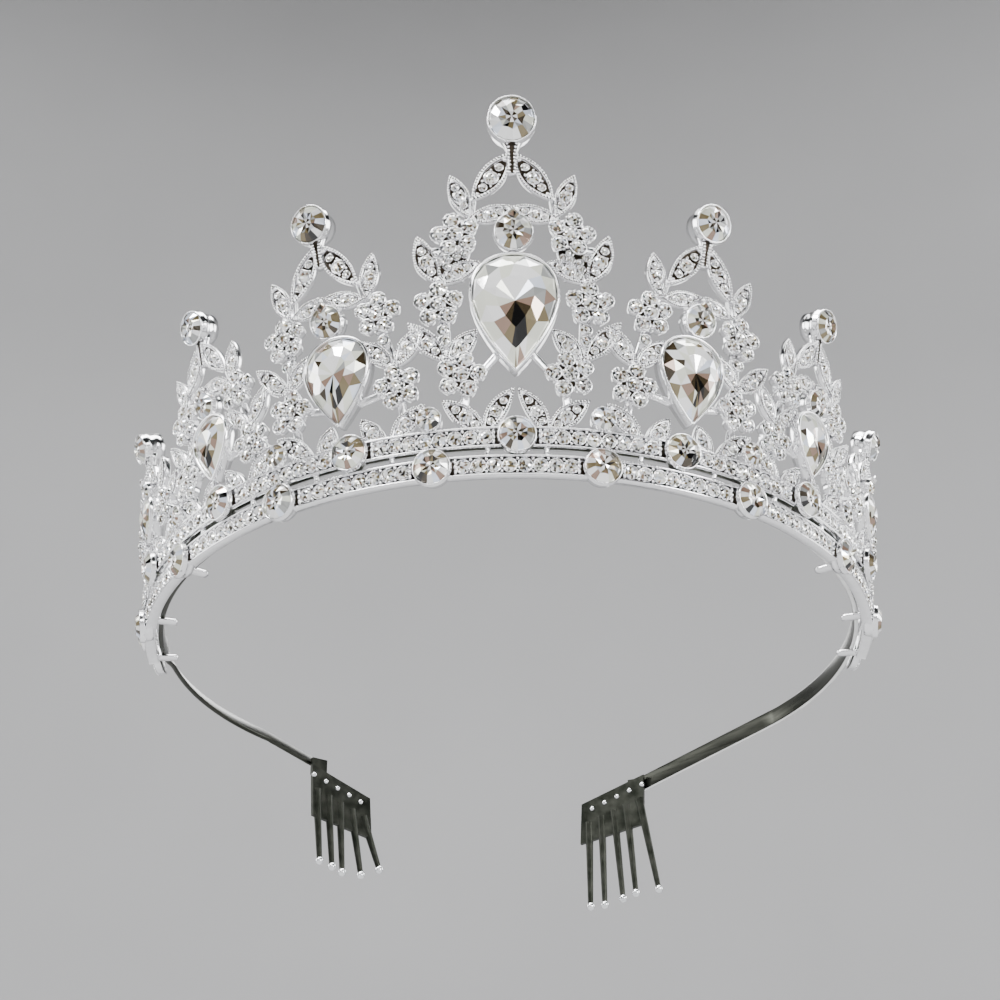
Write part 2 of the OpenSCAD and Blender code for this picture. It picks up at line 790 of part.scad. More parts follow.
// Small round stone with an octagon table and a pointed pavilion, z 0 at its girdle
module small_stone(r) {
    crown = crown_h * r;
    octagon = [for (i = [0 : 7]) [r * cos(45 * i), r * sin(45 * i)]];
    polyhedron(
        points = concat(
            at_height(octagon, table_r, crown),
            at_height(octagon, 1, 0),
            [[0, 0, -point_h * r]]
        ),
        faces = concat(
            [[for (i = [0 : 7]) 7 - i]],
            [for (i = [0 : 7]) [i, (i + 1) % 8, 8 + (i + 1) % 8, 8 + i]],
            [for (i = [0 : 7]) [8 + i, 8 + (i + 1) % 8, 16]]
        )
    );
}

// Clear space between a small stone and a cup, and between it and the rails' end
stone_clear = 0.12;
end_clear = 0.6;

// Small stones along a rail, left out where the cups of that rail stand
module rail_stones(v, cup_offset) {
    keep_off = rail_cup_r + rail_stone_r + stone_clear;
    reach = rail_end - rail_stone_r - end_clear;
    count = ceil(reach / rail_stone_pitch) + rail_places;
    color("aliceblue")
        for (i = [-count : count]) {
            u = cup_offset + i * rail_stone_pitch;
            nearest = round((u - cup_offset) / peak_pitch) * peak_pitch + cup_offset;
            if (abs(u - nearest) > keep_off && abs(u) < reach)
                at_station(u, v, rail_floor + stone_gap + point_h * rail_stone_r)
                    small_stone(rail_stone_r);
        }
}

module lower_rail_stones() {
    rail_stones(lower_v, cup_pitch);
}

module upper_rail_stones() {
    rail_stones(upper_v, 0);
}

// The stone at the middle of each flower
module flower_stones() {
    color("aliceblue")
        for (k = PEAKS, side = [1, -1], row = FLOWERS[abs(k)])
            at_station(
                peak_u(k, side * row[FLOWER_A], row[FLOWER_H]), row[FLOWER_H],
                plate_front + petal_rise + stone_gap + point_h * flower_stone_r
            )
                small_stone(flower_stone_r);
}

crown_casting();
headband();
left_comb();
right_comb();
for (k = PEAKS) {
    size = PEAK[abs(k)];
    pear_stone(k);
    cup_stone(peak_u(k, 0, size[ROUND_V]), size[ROUND_V], size[ROUND_R], cup_tilt);
    cup_stone(peak_u(k, 0, size[TIP_V]), size[TIP_V], size[TIP_R], cup_tilt);
}
for (n = RAIL_CUPS)
    cup_stone(n * cup_pitch, rail_cup_v(n), rail_cup_r);
for (n = SIDE_CUPS)
    cup_stone(side_cup_u(n), side_cup_v, side_cup_r);
lower_rail_stones();
upper_rail_stones();
flower_stones();
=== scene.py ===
"""The finished look of the rhinestone crown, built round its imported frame.

Shapes are worked out in millimetres and become metres when a piece is made. u is the arc
length along the ring's lower edge, v the height up the leaning face and w the distance
outwards from the casting's inner side, as in the part's source.
"""
import math

import bpy
import numpy as np
from mathutils import Matrix


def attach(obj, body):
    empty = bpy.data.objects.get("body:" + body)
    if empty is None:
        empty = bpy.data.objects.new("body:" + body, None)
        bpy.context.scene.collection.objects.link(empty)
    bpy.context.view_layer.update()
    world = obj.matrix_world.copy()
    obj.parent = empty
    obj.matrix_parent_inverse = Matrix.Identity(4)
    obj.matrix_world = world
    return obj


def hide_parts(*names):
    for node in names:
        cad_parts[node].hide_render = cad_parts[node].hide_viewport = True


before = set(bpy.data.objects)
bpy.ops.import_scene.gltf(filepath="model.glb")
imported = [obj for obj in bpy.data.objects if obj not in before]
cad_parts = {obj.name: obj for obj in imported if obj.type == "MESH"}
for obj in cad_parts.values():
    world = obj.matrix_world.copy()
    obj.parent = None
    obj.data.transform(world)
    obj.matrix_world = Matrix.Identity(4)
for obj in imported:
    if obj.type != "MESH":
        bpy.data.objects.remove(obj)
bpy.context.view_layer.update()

MM = 0.001
# Chance turns of stones are drawn up to this angle
FULL_TURN = 6.28
RING_R = 59.0
FLARE = math.radians(9.3)
SIN_F = math.sin(FLARE)
COS_F = math.cos(FLARE)

# Rails, their small stones and their pegs
RAIL_END = 91.5
RAIL_H = 3.1
RAIL_GAP = 1.2
RAIL_T = 1.7
RAIL_FLOOR = 0.75
RAIL_FOOT = RAIL_H + RAIL_GAP
LOWER_V = RAIL_H / 2
UPPER_V = RAIL_FOOT + RAIL_H / 2
CUP_PITCH = 11.5
PEAK_PITCH = 23.0
RAIL_PLACES = 11
RAIL_STONE_PITCH = PEAK_PITCH / RAIL_PLACES
RAIL_STONE_R = 0.97
# Middle height of each rail, and how far its cups stand from the peaks' stations
RAIL_ROWS = ((LOWER_V, CUP_PITCH), (UPPER_V, 0.0))
PEGS = np.array([4, 17.3, 28.8, 40.2, 51.8, 63.2, 74.8, 86.2])
TAB_ANGLES = np.array([57, 75, 88.5])

# The pierced plate, its leaves, flowers and bars
PLATE_BACK = 0.12
PLATE_FRONT = 1.32
LEAF_STEPS = 16
LEAF_FULLNESS = 0.85
LEAF_ENDS = 2.0
LEAF_STOCK = 2.9
LEAF_BEADS = 40
BEAD_INSET = 0.04
BEAD_FILL = 0.37
BEAD_MOST = 0.22
# Inset and w of a leaf's loops, from its back over the rim to its floor
LEAF_PROFILE = [
    (0.12, PLATE_BACK), (0.0, PLATE_BACK + 0.14), (-0.08, PLATE_FRONT - 0.16),
    (-0.05, PLATE_FRONT - 0.06), (0.17, PLATE_FRONT - 0.06), (0.2, PLATE_FRONT + 0.06),
    (0.26, PLATE_FRONT + 0.09), (0.32, PLATE_FRONT + 0.03), (0.35, PLATE_FRONT - 0.08),
    (0.37, PLATE_FRONT - 0.42),
]
# Loops of that profile between which the groove runs, dark as painted shade
LEAF_GROOVE = (3, 4)
# The leaf at each end of the rails: how far past the end it stands, width, tip and foot
END_LEAF_OFF = 3.2
END_LEAF_W = 3.2
END_TIP_X = 4.4
END_FOOT_X = -3.4
END_FOOT_V = 2.0
PETALS = 5
PETAL_RISE = 0.45
CUP_BEADS = 9
# Bars broader than this have a front dark as painted shade and four rows of stones
BROAD = 3
# Places across a bar, pitch along it and radius of its cups: on narrow and on broad bars
ONE_ROW = ((0.0,), 1.72, 0.95)
FOUR_ROWS = ((-1.65, -0.55, 0.55, 1.65), 1.12, 0.6)
# Side, bevel and part of the height at each corner of a bar's section
STEM_SECTION = [
    (-1, 0, 0.15), (-1, 0, 0.8), (-1, 0.18, 0.97), (-1, 0.36, 1.0), (1, 0.36, 1.0),
    (1, 0.18, 0.97), (1, 0, 0.8), (1, 0, 0.15), (1, 0.15, 0.0), (-1, 0.15, 0.0),
]
STEM_STEPS = 9
NECK_DROP = 3.4
NECK_FOOT = 1.4
NECK_TOP = 3.6
NECK_BEADS = 9

# Cups, bezels and the stones in them
RAIL_CUP_R = 2.8
SIDE_CUP_V = 9.0
SIDE_CUP_R = 1.85
SIDE_CUP_OFF = 0.2
CUP_FLOOR = 1.0
CUP_BACK = 0.3
ROUND_BACK = -0.2
TIP_BACK = -1.1
CUP_TILT = math.radians(12)
RIM_LOW = 1.6
RIM_RISE = 0.36
GIRDLE_DROP = 0.35
BEZEL_T = 0.45
BEZEL_RIM = 2.5
PEAR_DROP = 0.5
PEAR_FULLNESS = 0.77
WEDGES = 16

# Headband, tabs and combs
BAND_R = RING_R - 0.3
BAND_Z = 1.15
BAND_T = 0.8
BAND_H = 3.0
# Sweep and dip of each straight end, in degrees
LEFT_TAIL = (14, 11)
RIGHT_TAIL = (34, 9)
TAIL_STEPS = 14
LEFT_LEAN = 35
LEAN_AT = 90
TAB_T = 0.55
TAB_HALF = 0.85
TAB_ROOT = 0.5
TAB_REACH = 3.1
TAB_CLEAR = 0.05
LEFT_COMB_AT = 139.0
RIGHT_COMB_AT = 151.0
COMB_LAP = 4.0
COMB_PITCH = 2.6
COMB_FACE_R = BAND_R - BAND_T - 1.9
COMB_PLATE_T = 0.8
COMB_HANG = -1.0
COMB_DROP = math.tan(math.radians(18))
TOOTH_START = 4.2
# Teeth of each comb, from the end by the band: lean in degrees and length
LEFT_TEETH = [[5.5, 13.9], [6, 13.7], [4.5, 13.5], [11.5, 12.7], [22, 10.6]]
RIGHT_TEETH = [[-8.5, 18.6], [-2.7, 17.7], [-2.7, 17.6], [0.8, 17.5], [1.7, 16.6]]

# One row for each distance of a peak from the front: tip v, tip r, neck v, round v,
# round r, pear v, pear width, pear height, lean, petal ring and petal radius
PEAK = np.array([
    [58.3, 3.85, 52.4, 38.8, 3, 25.3, 12.3, 18.5, 0, 2.4, 1.3],
    [45.6, 3.15, 41.3, 28.1, 2.65, 17.6, 9.7, 13.6, 0.125, 2.35, 1.27],
    [38.4, 2.85, 34.5, 23.6, 2.2, 15.5, 7.4, 10.2, 0.12, 2.15, 1.22],
    [28.2, 2.6, 24.6, 20.3, 1.75, 14.4, 5.8, 7.4, 0, 2.05, 1.2],
])
(TIP_V, TIP_R, NECK_V, ROUND_V, ROUND_R, PEAR_V, PEAR_W, PEAR_H, LEAN, PETAL_RING,
 PETAL_R) = range(11)
PEAKS = range(-3, 4)

# Leaves of the right half of a peak: tip a and v, foot a and v, width, bow
LEAVES = [
    [[0.5, 52.5, 6, 44.6, 3.6, 0.2], [9.3, 48.9, 6.6, 41.8, 2.9, 0],
     [0, 43.2, 6.6, 41.4, 2.7, 0.3], [14.2, 38.9, 10.8, 30.8, 3.2, -0.4],
     [4.9, 33.9, 10.8, 30.8, 2.8, -0.3], [15.4, 24.6, 9.9, 18.1, 2.9, 0],
     [5.4, 22.8, 9.8, 18.1, 2.9, 0], [0.3, 13.4, 4.6, 6.3, 2.6, -0.35],
     [10.4, 11.8, 4.3, 6.4, 2.9, 0.2]],
    [[0.5, 41.5, 5.5, 33.2, 3.3, 0.2], [8.6, 37.7, 6.4, 30.6, 2.8, 0],
     [0, 32.3, 6.1, 30.6, 2.6, 0.3], [13.6, 24.1, 8.7, 18.3, 2.8, 0],
     [4.3, 23.4, 8.6, 18.3, 2.7, 0], [2.3, 11, 5.2, 6.4, 2.7, 0.2],
     [11.7, 11.6, 6, 6.4, 2.8, 0.2]],
    [[0.4, 34.9, 4.7, 27.8, 2.9, 0.2], [7.4, 31.8, 5.5, 25.6, 2.5, 0],
     [0, 27, 5.2, 25.6, 2.3, 0.2], [12, 21.4, 7.8, 15.9, 2.5, 0],
     [3.6, 20.4, 7.7, 15.9, 2.4, 0], [1.5, 10.9, 4.8, 6.4, 2.6, 0.2],
     [11.4, 11.2, 5.7, 6.4, 2.7, 0.2]],
    [[0.4, 24.8, 4.2, 19.4, 2.6, 0.2], [7.2, 22.2, 5.2, 16.8, 2.3, 0],
     [12, 17.2, 7.6, 13.6, 2.4, 0], [1.2, 10.8, 4.6, 6.4, 2.6, 0.2],
     [11.2, 11, 5.6, 6.4, 2.7, 0.2]],
]
# Flowers of the right half of a peak: a, v, turn in degrees
FLOWERS = [
    [[8.4, 38.6, 6], [10.8, 27.2, 18], [7.6, 15.6, 30]],
    [[7.6, 27.3, 12], [8.5, 15.1, 30]],
    [[6.5, 23.2, 12], [7.7, 13.3, 30]],
    [[6.9, 13.6, 20]],
]
# Stems of the right half of a peak: from a and v, to a and v, width
STEMS = [
    [[6, 45, 6.5, 41, 1.2], [8.4, 36.4, 9.4, 31.6, 4.2], [2.4, 19.2, 5.2, 15.8, 1.1],
     [10.2, 25, 9.7, 16.6, 1.6], [7.2, 12.6, 7.4, 9.4, 1.2], [10.4, 36.6, 12.6, 36.4, 1.2],
     [0, 43.4, 0, 40.6, 2.2], [0, 36.6, 0, 34.6, 1.6], [10.7, 32.4, 10.8, 30, 1.3]],
    [[5.5, 33.8, 6.1, 30.6, 1.2], [7.5, 24.8, 8.5, 16.6, 1.6], [2.2, 13.9, 5.6, 14.6, 1.1],
     [8.5, 13.6, 8.4, 9.2, 1.3], [0, 32.4, 0, 29.8, 2], [6.2, 31.4, 7.3, 29, 1.4]],
    [[4.7, 28.2, 5.6, 24.6, 1.3], [6.5, 21, 7.7, 14.6, 1.4], [1.8, 13.2, 4.8, 13.4, 1.1],
     [7.8, 12, 8, 8.6, 1.4], [0, 27.2, 0, 25.2, 1.8]],
    [[4.2, 19.8, 6.1, 14.8, 1.1], [1, 20.6, 4, 19.8, 1.8], [1.6, 12.8, 5.2, 12.8, 1.1],
     [7.2, 11.6, 7.6, 8.6, 1.2]],
]

# Facet colours painted on the opaque stones in place of the reflections that foiled crystal
# shows: white, greenish white, grey, olive brown, dark brown, black, bluish white and
# pinkish brown
REFLECTION_TONES = np.array([
    [0.98, 0.98, 0.97], [0.84, 0.86, 0.74], [0.36, 0.37, 0.36], [0.2, 0.16, 0.085],
    [0.05, 0.037, 0.02], [0.006, 0.006, 0.006], [0.82, 0.88, 1.0], [0.3, 0.2, 0.15],
])
PLAIN_TONE = 0.8
# How often each tone comes up in small stones and in the brown ones
SMALL_WEIGHTS = (9, 3, 1.8, 2.8, 2.8, 2.4, 2.2, 0.9)
BROWN_WEIGHTS = (1, 1, 1, 5, 4, 2, 0, 3)
# Painted reflections on the front pear's wedges, as tones from the tip round by the right:
# inner, middle, outer
PEAR_TONES = np.array([
    [5, 5, 4, 7, 2, 6, 0, 0, 0, 1, 0, 1, 7, 4, 5, 5],
    [5, 5, 3, 7, 2, 6, 0, 0, 1, 0, 0, 1, 0, 7, 3, 5],
    [7, 1, 1, 2, 1, 2, 0, 1, 0, 1, 0, 1, 1, 0, 1, 3],
])
chance = np.random.default_rng(11)


def join(*columns):
    """Numbers or arrays broadcast to one shape and set side by side along a last axis."""
    return np.stack(np.broadcast_arrays(*columns), -1)


def axes_at(theta):
    """Sideways, up-the-face and outward directions at angles theta from the front: the
    leaning face's own frame turned round the ring."""
    s, c = np.sin(theta), np.cos(theta)
    up = join(s * SIN_F, -c * SIN_F, COS_F)
    out = join(s * COS_F, -c * COS_F, -SIN_F)
    return np.stack([join(c, s, 0), up, out], -2)


def cone_points(theta, v, w):
    """Points at angle theta, v up the leaning face and w out from it: the radius is ring
    radius plus v times the lean's sine plus w times its cosine."""
    r = RING_R + v * SIN_F + w * COS_F
    return join(r * np.sin(theta), -r * np.cos(theta), v * COS_F - w * SIN_F)


def flat_to_cone(theta0, x, y, w):
    """Angle and v of a flat point x, y beside the station theta0, carried straight out on
    to the cone: the angle is the arcsine of x over the radius, and v gains the fall of the
    curve times the lean's sine."""
    r = RING_R + y * SIN_F + w * COS_F
    fall = r - np.sqrt(r * r - x * x)
    return theta0 + np.arcsin(x / r), y + fall * SIN_F


def plate_points(theta0, x, y, w):
    """Flat pattern points bent to the cone at w."""
    return cone_points(*flat_to_cone(theta0, x, y, w), w)


def plate_frames(theta0, x, y, w):
    """Origins and axes for pieces that stand on the bent plate at flat points x, y."""
    theta, v = flat_to_cone(theta0, x, y, w)
    return cone_points(theta, v, w), axes_at(theta)


def station_frames(u, v, w):
    """Origins and axes at arc length u, height v and distance w."""
    return cone_points(u / RING_R, v, w), axes_at(u / RING_R)


def grid_faces(rows, cols):
    """Quads of a grid of rows by cols points, the columns joined round."""
    i = np.arange(rows - 1)[:, None]
    j = np.arange(cols)[None, :]
    k = (j + 1) % cols
    a, b = i * cols + j, i * cols + k
    return join(a, b, b + cols, a + cols).reshape(-1, 4)


def triangles(faces):
    """Quads cut into triangles."""
    return np.concatenate([faces[:, [0, 1, 2]], faces[:, [0, 2, 3]]])


def facing_out(points, tris):
    """The triangles, turned round if the volume that they enclose comes out negative."""
    p = points[tris]
    volume = np.einsum("ij,ij->i", p[:, 0], np.cross(p[:, 1], p[:, 2])).sum()
    return tris if volume > 0 else tris[:, ::-1]


def circles(*rings):
    """Points on circles about z, each given by its radius, its angles and its height."""
    return np.concatenate([join(r * np.cos(g), r * np.sin(g), z) for r, g, z in rings])


def lathe(profile, n):
    """A profile of radius and height turned round z in n steps, its ends closed by a fan."""
    r, z = np.array(profile, float).T
    rows, j = len(r), np.arange(n)
    k, last = (j + 1) % n, (rows - 1) * n
    wall = circles(*[(a, j * 2 * np.pi / n, b) for a, b in zip(r, z)])
    pts = np.concatenate([wall, [[0, 0, z[0]], [0, 0, z[-1]]]])
    ends = [join(rows * n, k, j), join(rows * n + 1, last + j, last + k)]
    return pts, facing_out(pts, np.concatenate([triangles(grid_faces(rows, n)), *ends]))


def repeat(template, frames, scale):
    """One template set at many frames: point times scale times axes, plus origin. The scale
    is one number for all, one for each frame, or three for each frame."""
    points, tris = template
    origins, axes = frames
    count = len(origins)
    scale = np.asarray(scale, float)
    scale = np.full((count, 1, 1), scale) if scale.ndim == 0 else scale.reshape(count, 1, -1)
    world = np.einsum("mij,mjk->mik", points[None] * scale, axes) + origins[:, None]
    offset = (np.arange(count) * len(points))[:, None, None]
    return world.reshape(-1, 3), (tris[None] + offset).reshape(-1, 3)


def spun(frames):
    """Frames spun about their own outward axis, each by an angle drawn by chance."""
    origins, axes = frames
    angle = chance.uniform(0, FULL_TURN, len(origins))
    c, s = np.cos(angle), np.sin(angle)
    spin = np.zeros((len(angle), 3, 3))
    spin[:, 0, 0], spin[:, 0, 1], spin[:, 1, 0], spin[:, 1, 1], spin[:, 2, 2] = c, s, -s, c, 1
    return origins, np.einsum("mij,mjk->mik", spin, axes)


def lofted(layers):
    """Closed loops (M, J, N, 3) skinned from loop to loop, with the first and the last loop
    closed across, point i of one side to point N - i of the other. The third result marks
    the triangles that close the last loop."""
    m, rows, n, _ = layers.shape
    half = n // 2
    i = np.arange(1, half - 1)
    cap = np.concatenate([
        triangles(join(i, i + 1, n - i - 1, n - i)),
        [[0, 1, n - 1], [half - 1, half, half + 1]],
    ])
    tris = np.concatenate([triangles(grid_faces(rows, n)), cap[:, ::-1], cap + (rows - 1) * n])
    last = np.tile(np.arange(len(tris)) >= len(tris) - len(cap), m)
    tris = facing_out(layers[0].reshape(-1, 3), tris)
    offset = (np.arange(m) * rows * n)[:, None, None]
    return layers.reshape(-1, 3), (tris[None] + offset).reshape(-1, 3), last


def make_piece(name, parts, materials, replaces=()):
    """A mesh object from parts, each (points in mm, triangles, material index or an array of
    them, smooth, tones for each triangle or None). It rides on the crown's body."""
    points, tris, mats, smooth, tones = [], [], [], [], []
    count = 0
    for p, t, mat, soft, tone in parts:
        points.append(p)
        tris.append(t + count)
        mats.append(np.broadcast_to(mat, len(t)))
        smooth.append(np.broadcast_to(soft, len(t)))
        tones.append(np.full((len(t), 3), PLAIN_TONE) if tone is None else tone)
        count += len(p)
    points, tris = np.concatenate(points) * MM, np.concatenate(tris)
    mesh = bpy.data.meshes.new(name)
    mesh.vertices.add(len(points))
    mesh.vertices.foreach_set("co", points.astype(np.float32).ravel())
    mesh.loops.add(tris.size)
    mesh.loops.foreach_set("vertex_index", tris.astype(np.int32).ravel())
    mesh.polygons.add(len(tris))
    mesh.polygons.foreach_set("loop_start", (np.arange(len(tris)) * 3).astype(np.int32))
    mesh.polygons.foreach_set("use_smooth", np.concatenate(smooth).astype(bool))
    mesh.polygons.foreach_set("material_index", np.concatenate(mats).astype(np.int32))
    mesh.update(calc_edges=True)
    layer = mesh.color_attributes.new(name="tone", type="FLOAT_COLOR", domain="CORNER")
    rgba = np.concatenate([np.concatenate(tones), np.ones((len(tris), 1))], -1)
    layer.data.foreach_set("color", np.repeat(rgba, 3, 0).astype(np.float32).ravel())
    mesh.validate()
    for material in materials:
        mesh.materials.append(material)
    obj = bpy.data.objects.new(name, mesh)
    bpy.context.scene.collection.objects.link(obj)
    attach(obj, "root")
    if replaces:
        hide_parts(*replaces)


def silver_piece(name, *meshes):
    """A smooth piece of bright plate from meshes of points and triangles."""
    make_piece(name, [(*mesh, 0, True, None) for mesh in meshes], [silver])


def tones_by_chance(count, weights):
    """A tone for each of count facets, drawn with the given weights."""
    return REFLECTION_TONES[chance.choice(len(weights), count, p=np.asarray(weights) / np.sum(weights))]


BEAD = lathe([(0.55, -0.75), (1.0, -0.1), (0.8, 0.6)], 6)
GRAIN = lathe([(0.9, -1.0), (1.0, 0.0), (0.72, 0.7), (0.3, 0.95)], 10)
PETAL_CUP = lathe([(0.52, 0.02), (0.68, 0.07), (0.8, 0.4), (0.97, 0.76), (1.0, 0.86),
                   (0.99, 0.95), (0.93, 1.0), (0.84, 0.98), (0.79, 0.88), (0.77, 0.7)], 18)


# Materials


def new_node(tree, kind, inputs):
    """A shader node with its inputs set: a socket of another node is linked to it, and a
    plain number or colour stands on it."""
    node = tree.nodes.new(kind)
    for name, value in inputs.items():
        if isinstance(value, bpy.types.NodeSocket):
            tree.links.new(value, node.inputs[name])
        else:
            node.inputs[name].default_value = value
    return node


def new_material(name):
    """An empty node material, its tree and Object coordinates."""
    mat = bpy.data.materials.new(name)
    mat.use_nodes = True
    mat.node_tree.nodes.clear()
    coords = new_node(mat.node_tree, "ShaderNodeTexCoord", {})
    return mat, mat.node_tree, coords.outputs["Object"]


def shade(tree, inputs):
    """The shader with its inputs set, and the material's output."""
    shader = new_node(tree, "ShaderNodeBsdfPrincipled", inputs)
    new_node(tree, "ShaderNodeOutputMaterial", {"Surface": shader.outputs["BSDF"]})


def noise(tree, coords, scale, stretch=(1, 1, 1)):
    """Noise on Object coordinates, scale in cycles a metre, stretched along each axis."""
    mapping = new_node(tree, "ShaderNodeMapping", {"Vector": coords, "Scale": stretch})
    return new_node(tree, "ShaderNodeTexNoise", {
        "Vector": mapping.outputs["Vector"], "Scale": scale, "Detail": 3.0}).outputs["Fac"]


def spread(tree, value, low, high):
    """A noise value mapped from its usual range, 0.3 to 0.7, on to low to high."""
    return new_node(tree, "ShaderNodeMapRange", {
        "Value": value, "From Min": 0.3, "From Max": 0.7, "To Min": low, "To Max": high,
    }).outputs["Result"]


def blend_colour(tree, value, low, high):
    """A colour ramp from low to high by a value."""
    ramp = new_node(tree, "ShaderNodeValToRGB", {"Fac": value})
    for end, position, colour in zip(ramp.color_ramp.elements, (0.32, 0.68), (low, high)):
        end.position = position
        end.color = (*colour, 1)
    return ramp.outputs["Color"]


def metal(name, low, high, rough_low, rough_high, grain, depth, stretch=(1, 1, 1)):
    """Cast or drawn metal: colour and roughness wander with a grain, over a fine bump of
    the given depth in metres."""
    mat, tree, coords = new_material(name)
    cloud = noise(tree, coords, grain, stretch)
    bump = new_node(tree, "ShaderNodeBump", {
        "Height": noise(tree, coords, grain * 3, stretch), "Strength": 1.0, "Distance": depth})
    shade(tree, {"Metallic": 1.0, "Base Color": blend_colour(tree, cloud, low, high),
                 "Roughness": spread(tree, cloud, rough_low, rough_high),
                 "Normal": bump.outputs["Normal"]})
    return mat


def toned(name, metallic, roughness):
    """Cut facets under a clear coat: each takes the tone attribute of its own face, a painted
    reflection.
    """
    mat, tree, coords = new_material(name)
    tone = new_node(tree, "ShaderNodeAttribute", {})
    tone.attribute_name = "tone"
    haze = spread(tree, noise(tree, coords, 2500), roughness * 0.7, roughness * 1.4)
    shade(tree, {"Base Color": tone.outputs["Color"], "Metallic": metallic, "Roughness": haze,
                 "Coat Weight": 1.0, "Coat Roughness": 0.02})
    return mat


def plain(name, low, high, rough, grain):
    """Matt floor or backdrop with a faint cloud in its colour."""
    mat, tree, coords = new_material(name)
    cloud = blend_colour(tree, noise(tree, coords, grain), low, high)
    shade(tree, {"Base Color": cloud, "Roughness": rough})
    return mat


silver = metal("bright_plate", (0.9, 0.9, 0.91), (0.99, 0.99, 1.0), 0.08, 0.2, 900, 0.00001)
# Near-black plate for leaf floors and grooves, rail floors, flower discs and broad bar fronts:
# painted shade in the recesses and gaps
painted_shade = metal("painted_shade_plate", (0.012, 0.01, 0.007), (0.05, 0.04, 0.03), 0.35, 0.55, 1500,
               0.00002)
band_steel = metal("band_steel", (0.03, 0.032, 0.026), (0.065, 0.067, 0.057), 0.24, 0.36, 260,
                   0.000003, (0.3, 0.3, 4))
# Bright metal for the strip's lower edge: a painted highlight
painted_highlight_edge = metal("painted_highlight_edge", (0.8, 0.8, 0.79), (0.95, 0.95, 0.94), 0.34, 0.5, 300, 0.000003)
comb_steel = metal("comb_steel", (0.016, 0.018, 0.014), (0.042, 0.044, 0.037), 0.32, 0.46,
                   500, 0.000005)
tip_steel = metal("tip_steel", (0.74, 0.76, 0.77), (0.9, 0.91, 0.92), 0.14, 0.26, 900,
                  0.000006)
large_cut = toned("round_crystal", 0.5, 0.06)
pear_cut = toned("pear_crystal", 0.35, 0.05)
small_cut = toned("small_crystal", 0.55, 0.1)


# Peaks laid out


def peak_theta(k):
    """Angle of peak k's station."""
    return k * PEAK_PITCH / RING_R


def side_x(k, a, v):
    """Sideways place of a point a beside the leaning axis of peak k."""
    return a + np.sign(k) * PEAK[abs(k), LEAN] * (v - UPPER_V)


def axis_theta(k, v):
    """Angle of peak k's leaning axis at the height v: its station's angle plus the arcsine
    of its sideways place over the radius of the plate's front."""
    radius = RING_R + v * SIN_F + PLATE_FRONT * COS_F
    return peak_theta(k) + math.asin(side_x(k, 0, v) / radius)


def both_halves(k, rows):
    """Rows that start with two points, a and v each, set beside peak k's axis: all of them
    on its right and then all on its left, with the side after the points."""
    return [[side_x(k, side * a0, v0), v0, side_x(k, side * a1, v1), v1, side, *rest]
            for side in (1, -1) for a0, v0, a1, v1, *rest in rows]


def tag(n):
    """The end of a node's name for a place n to the right of the front."""
    return "front" if n == 0 else ("left_" if n < 0 else "right_") + str(abs(n))


# Leaves


def leaf_table():
    """Every leaf: station angle, tip and foot, width and bow; last the rails' end leaves."""
    rows = [[peak_theta(k), x0, v0, x1, v1, width, side * bow]
            for k in PEAKS for x0, v0, x1, v1, side, width, bow in both_halves(k, LEAVES[abs(k)])]
    for side in (1, -1):
        rows.append([side * (RAIL_END + END_LEAF_OFF) / RING_R, side * END_TIP_X, LOWER_V,
                     side * END_FOOT_X, LOWER_V + END_FOOT_V, END_LEAF_W, 0])
    return np.array(rows)


def along_leaf(columns, t, across=0.0):
    """Flat points at the part t of each leaf's middle line, moved across it. The line runs
    straight from foot to tip and bows by the parabola 4 t (1 - t)."""
    theta, tx, ty, fx, fy, _, bow = columns
    long = np.hypot(tx - fx, ty - fy)
    shift = bow * 4 * t * (1 - t) + across
    x = fx + (tx - fx) * t - (ty - fy) / long * shift
    y = fy + (ty - fy) * t + (tx - fx) / long * shift
    return theta, x, y


def leaf_loops(table, inset):
    """Outlines of the leaves, up one side and down the other: the half width, less the
    inset, follows a sine raised to the fullness."""
    columns = table.T[:, :, None]
    _, tx, ty, fx, fy, width, _ = columns
    rise = np.arange(LEAF_STEPS) / LEAF_STEPS
    s = np.concatenate([rise, 1 - rise])
    side = np.repeat([1, -1], LEAF_STEPS)
    start = inset * LEAF_ENDS / np.hypot(tx - fx, ty - fy)
    half = np.maximum(0, width / 2 - inset) * np.sin(np.pi * s) ** LEAF_FULLNESS * side
    return along_leaf(columns, start + s * (1 - 2 * start), half)


def build_leaves(table):
    """Leaf settings lofted through their profile, from the back over a groove and a bright
    ridge into a sunk floor, the groove and floor dark as painted shade, and beads evenly
    spaced along the groove."""
    layers = [plate_points(*leaf_loops(table, inset), w) for inset, w in LEAF_PROFILE]
    points, tris, floor = lofted(np.stack(layers, 1))
    ring = (tris // (2 * LEAF_STEPS)) % len(LEAF_PROFILE)
    groove = np.all(np.isin(ring, LEAF_GROOVE), 1)
    # The floor and the groove take the dark plate: painted shade
    make_piece("leaf_settings", [(points, tris, (floor | groove).astype(int), ~floor, None)],
               [silver, painted_shade], ["crown_casting"])
    loops = np.stack(leaf_loops(table, BEAD_INSET)[1:])
    loops = np.concatenate([loops, loops[:, :, :1]], 2)
    run = np.cumsum(np.hypot(*np.diff(loops)), 1)
    run = np.concatenate([np.zeros((len(run), 1)), run], 1)
    at = np.linspace(0, 1, LEAF_BEADS, endpoint=False)
    x, y = [np.ravel([np.interp(at * r[-1], r, p) for r, p in zip(run, line)]) for line in loops]
    size = np.repeat(run[:, -1] / LEAF_BEADS * BEAD_FILL, LEAF_BEADS)
    frames = plate_frames(np.repeat(table[:, 0], LEAF_BEADS), x, y, PLATE_FRONT + 0.06)
    silver_piece("leaf_milgrain", repeat(BEAD, frames, np.minimum(size, BEAD_MOST)))


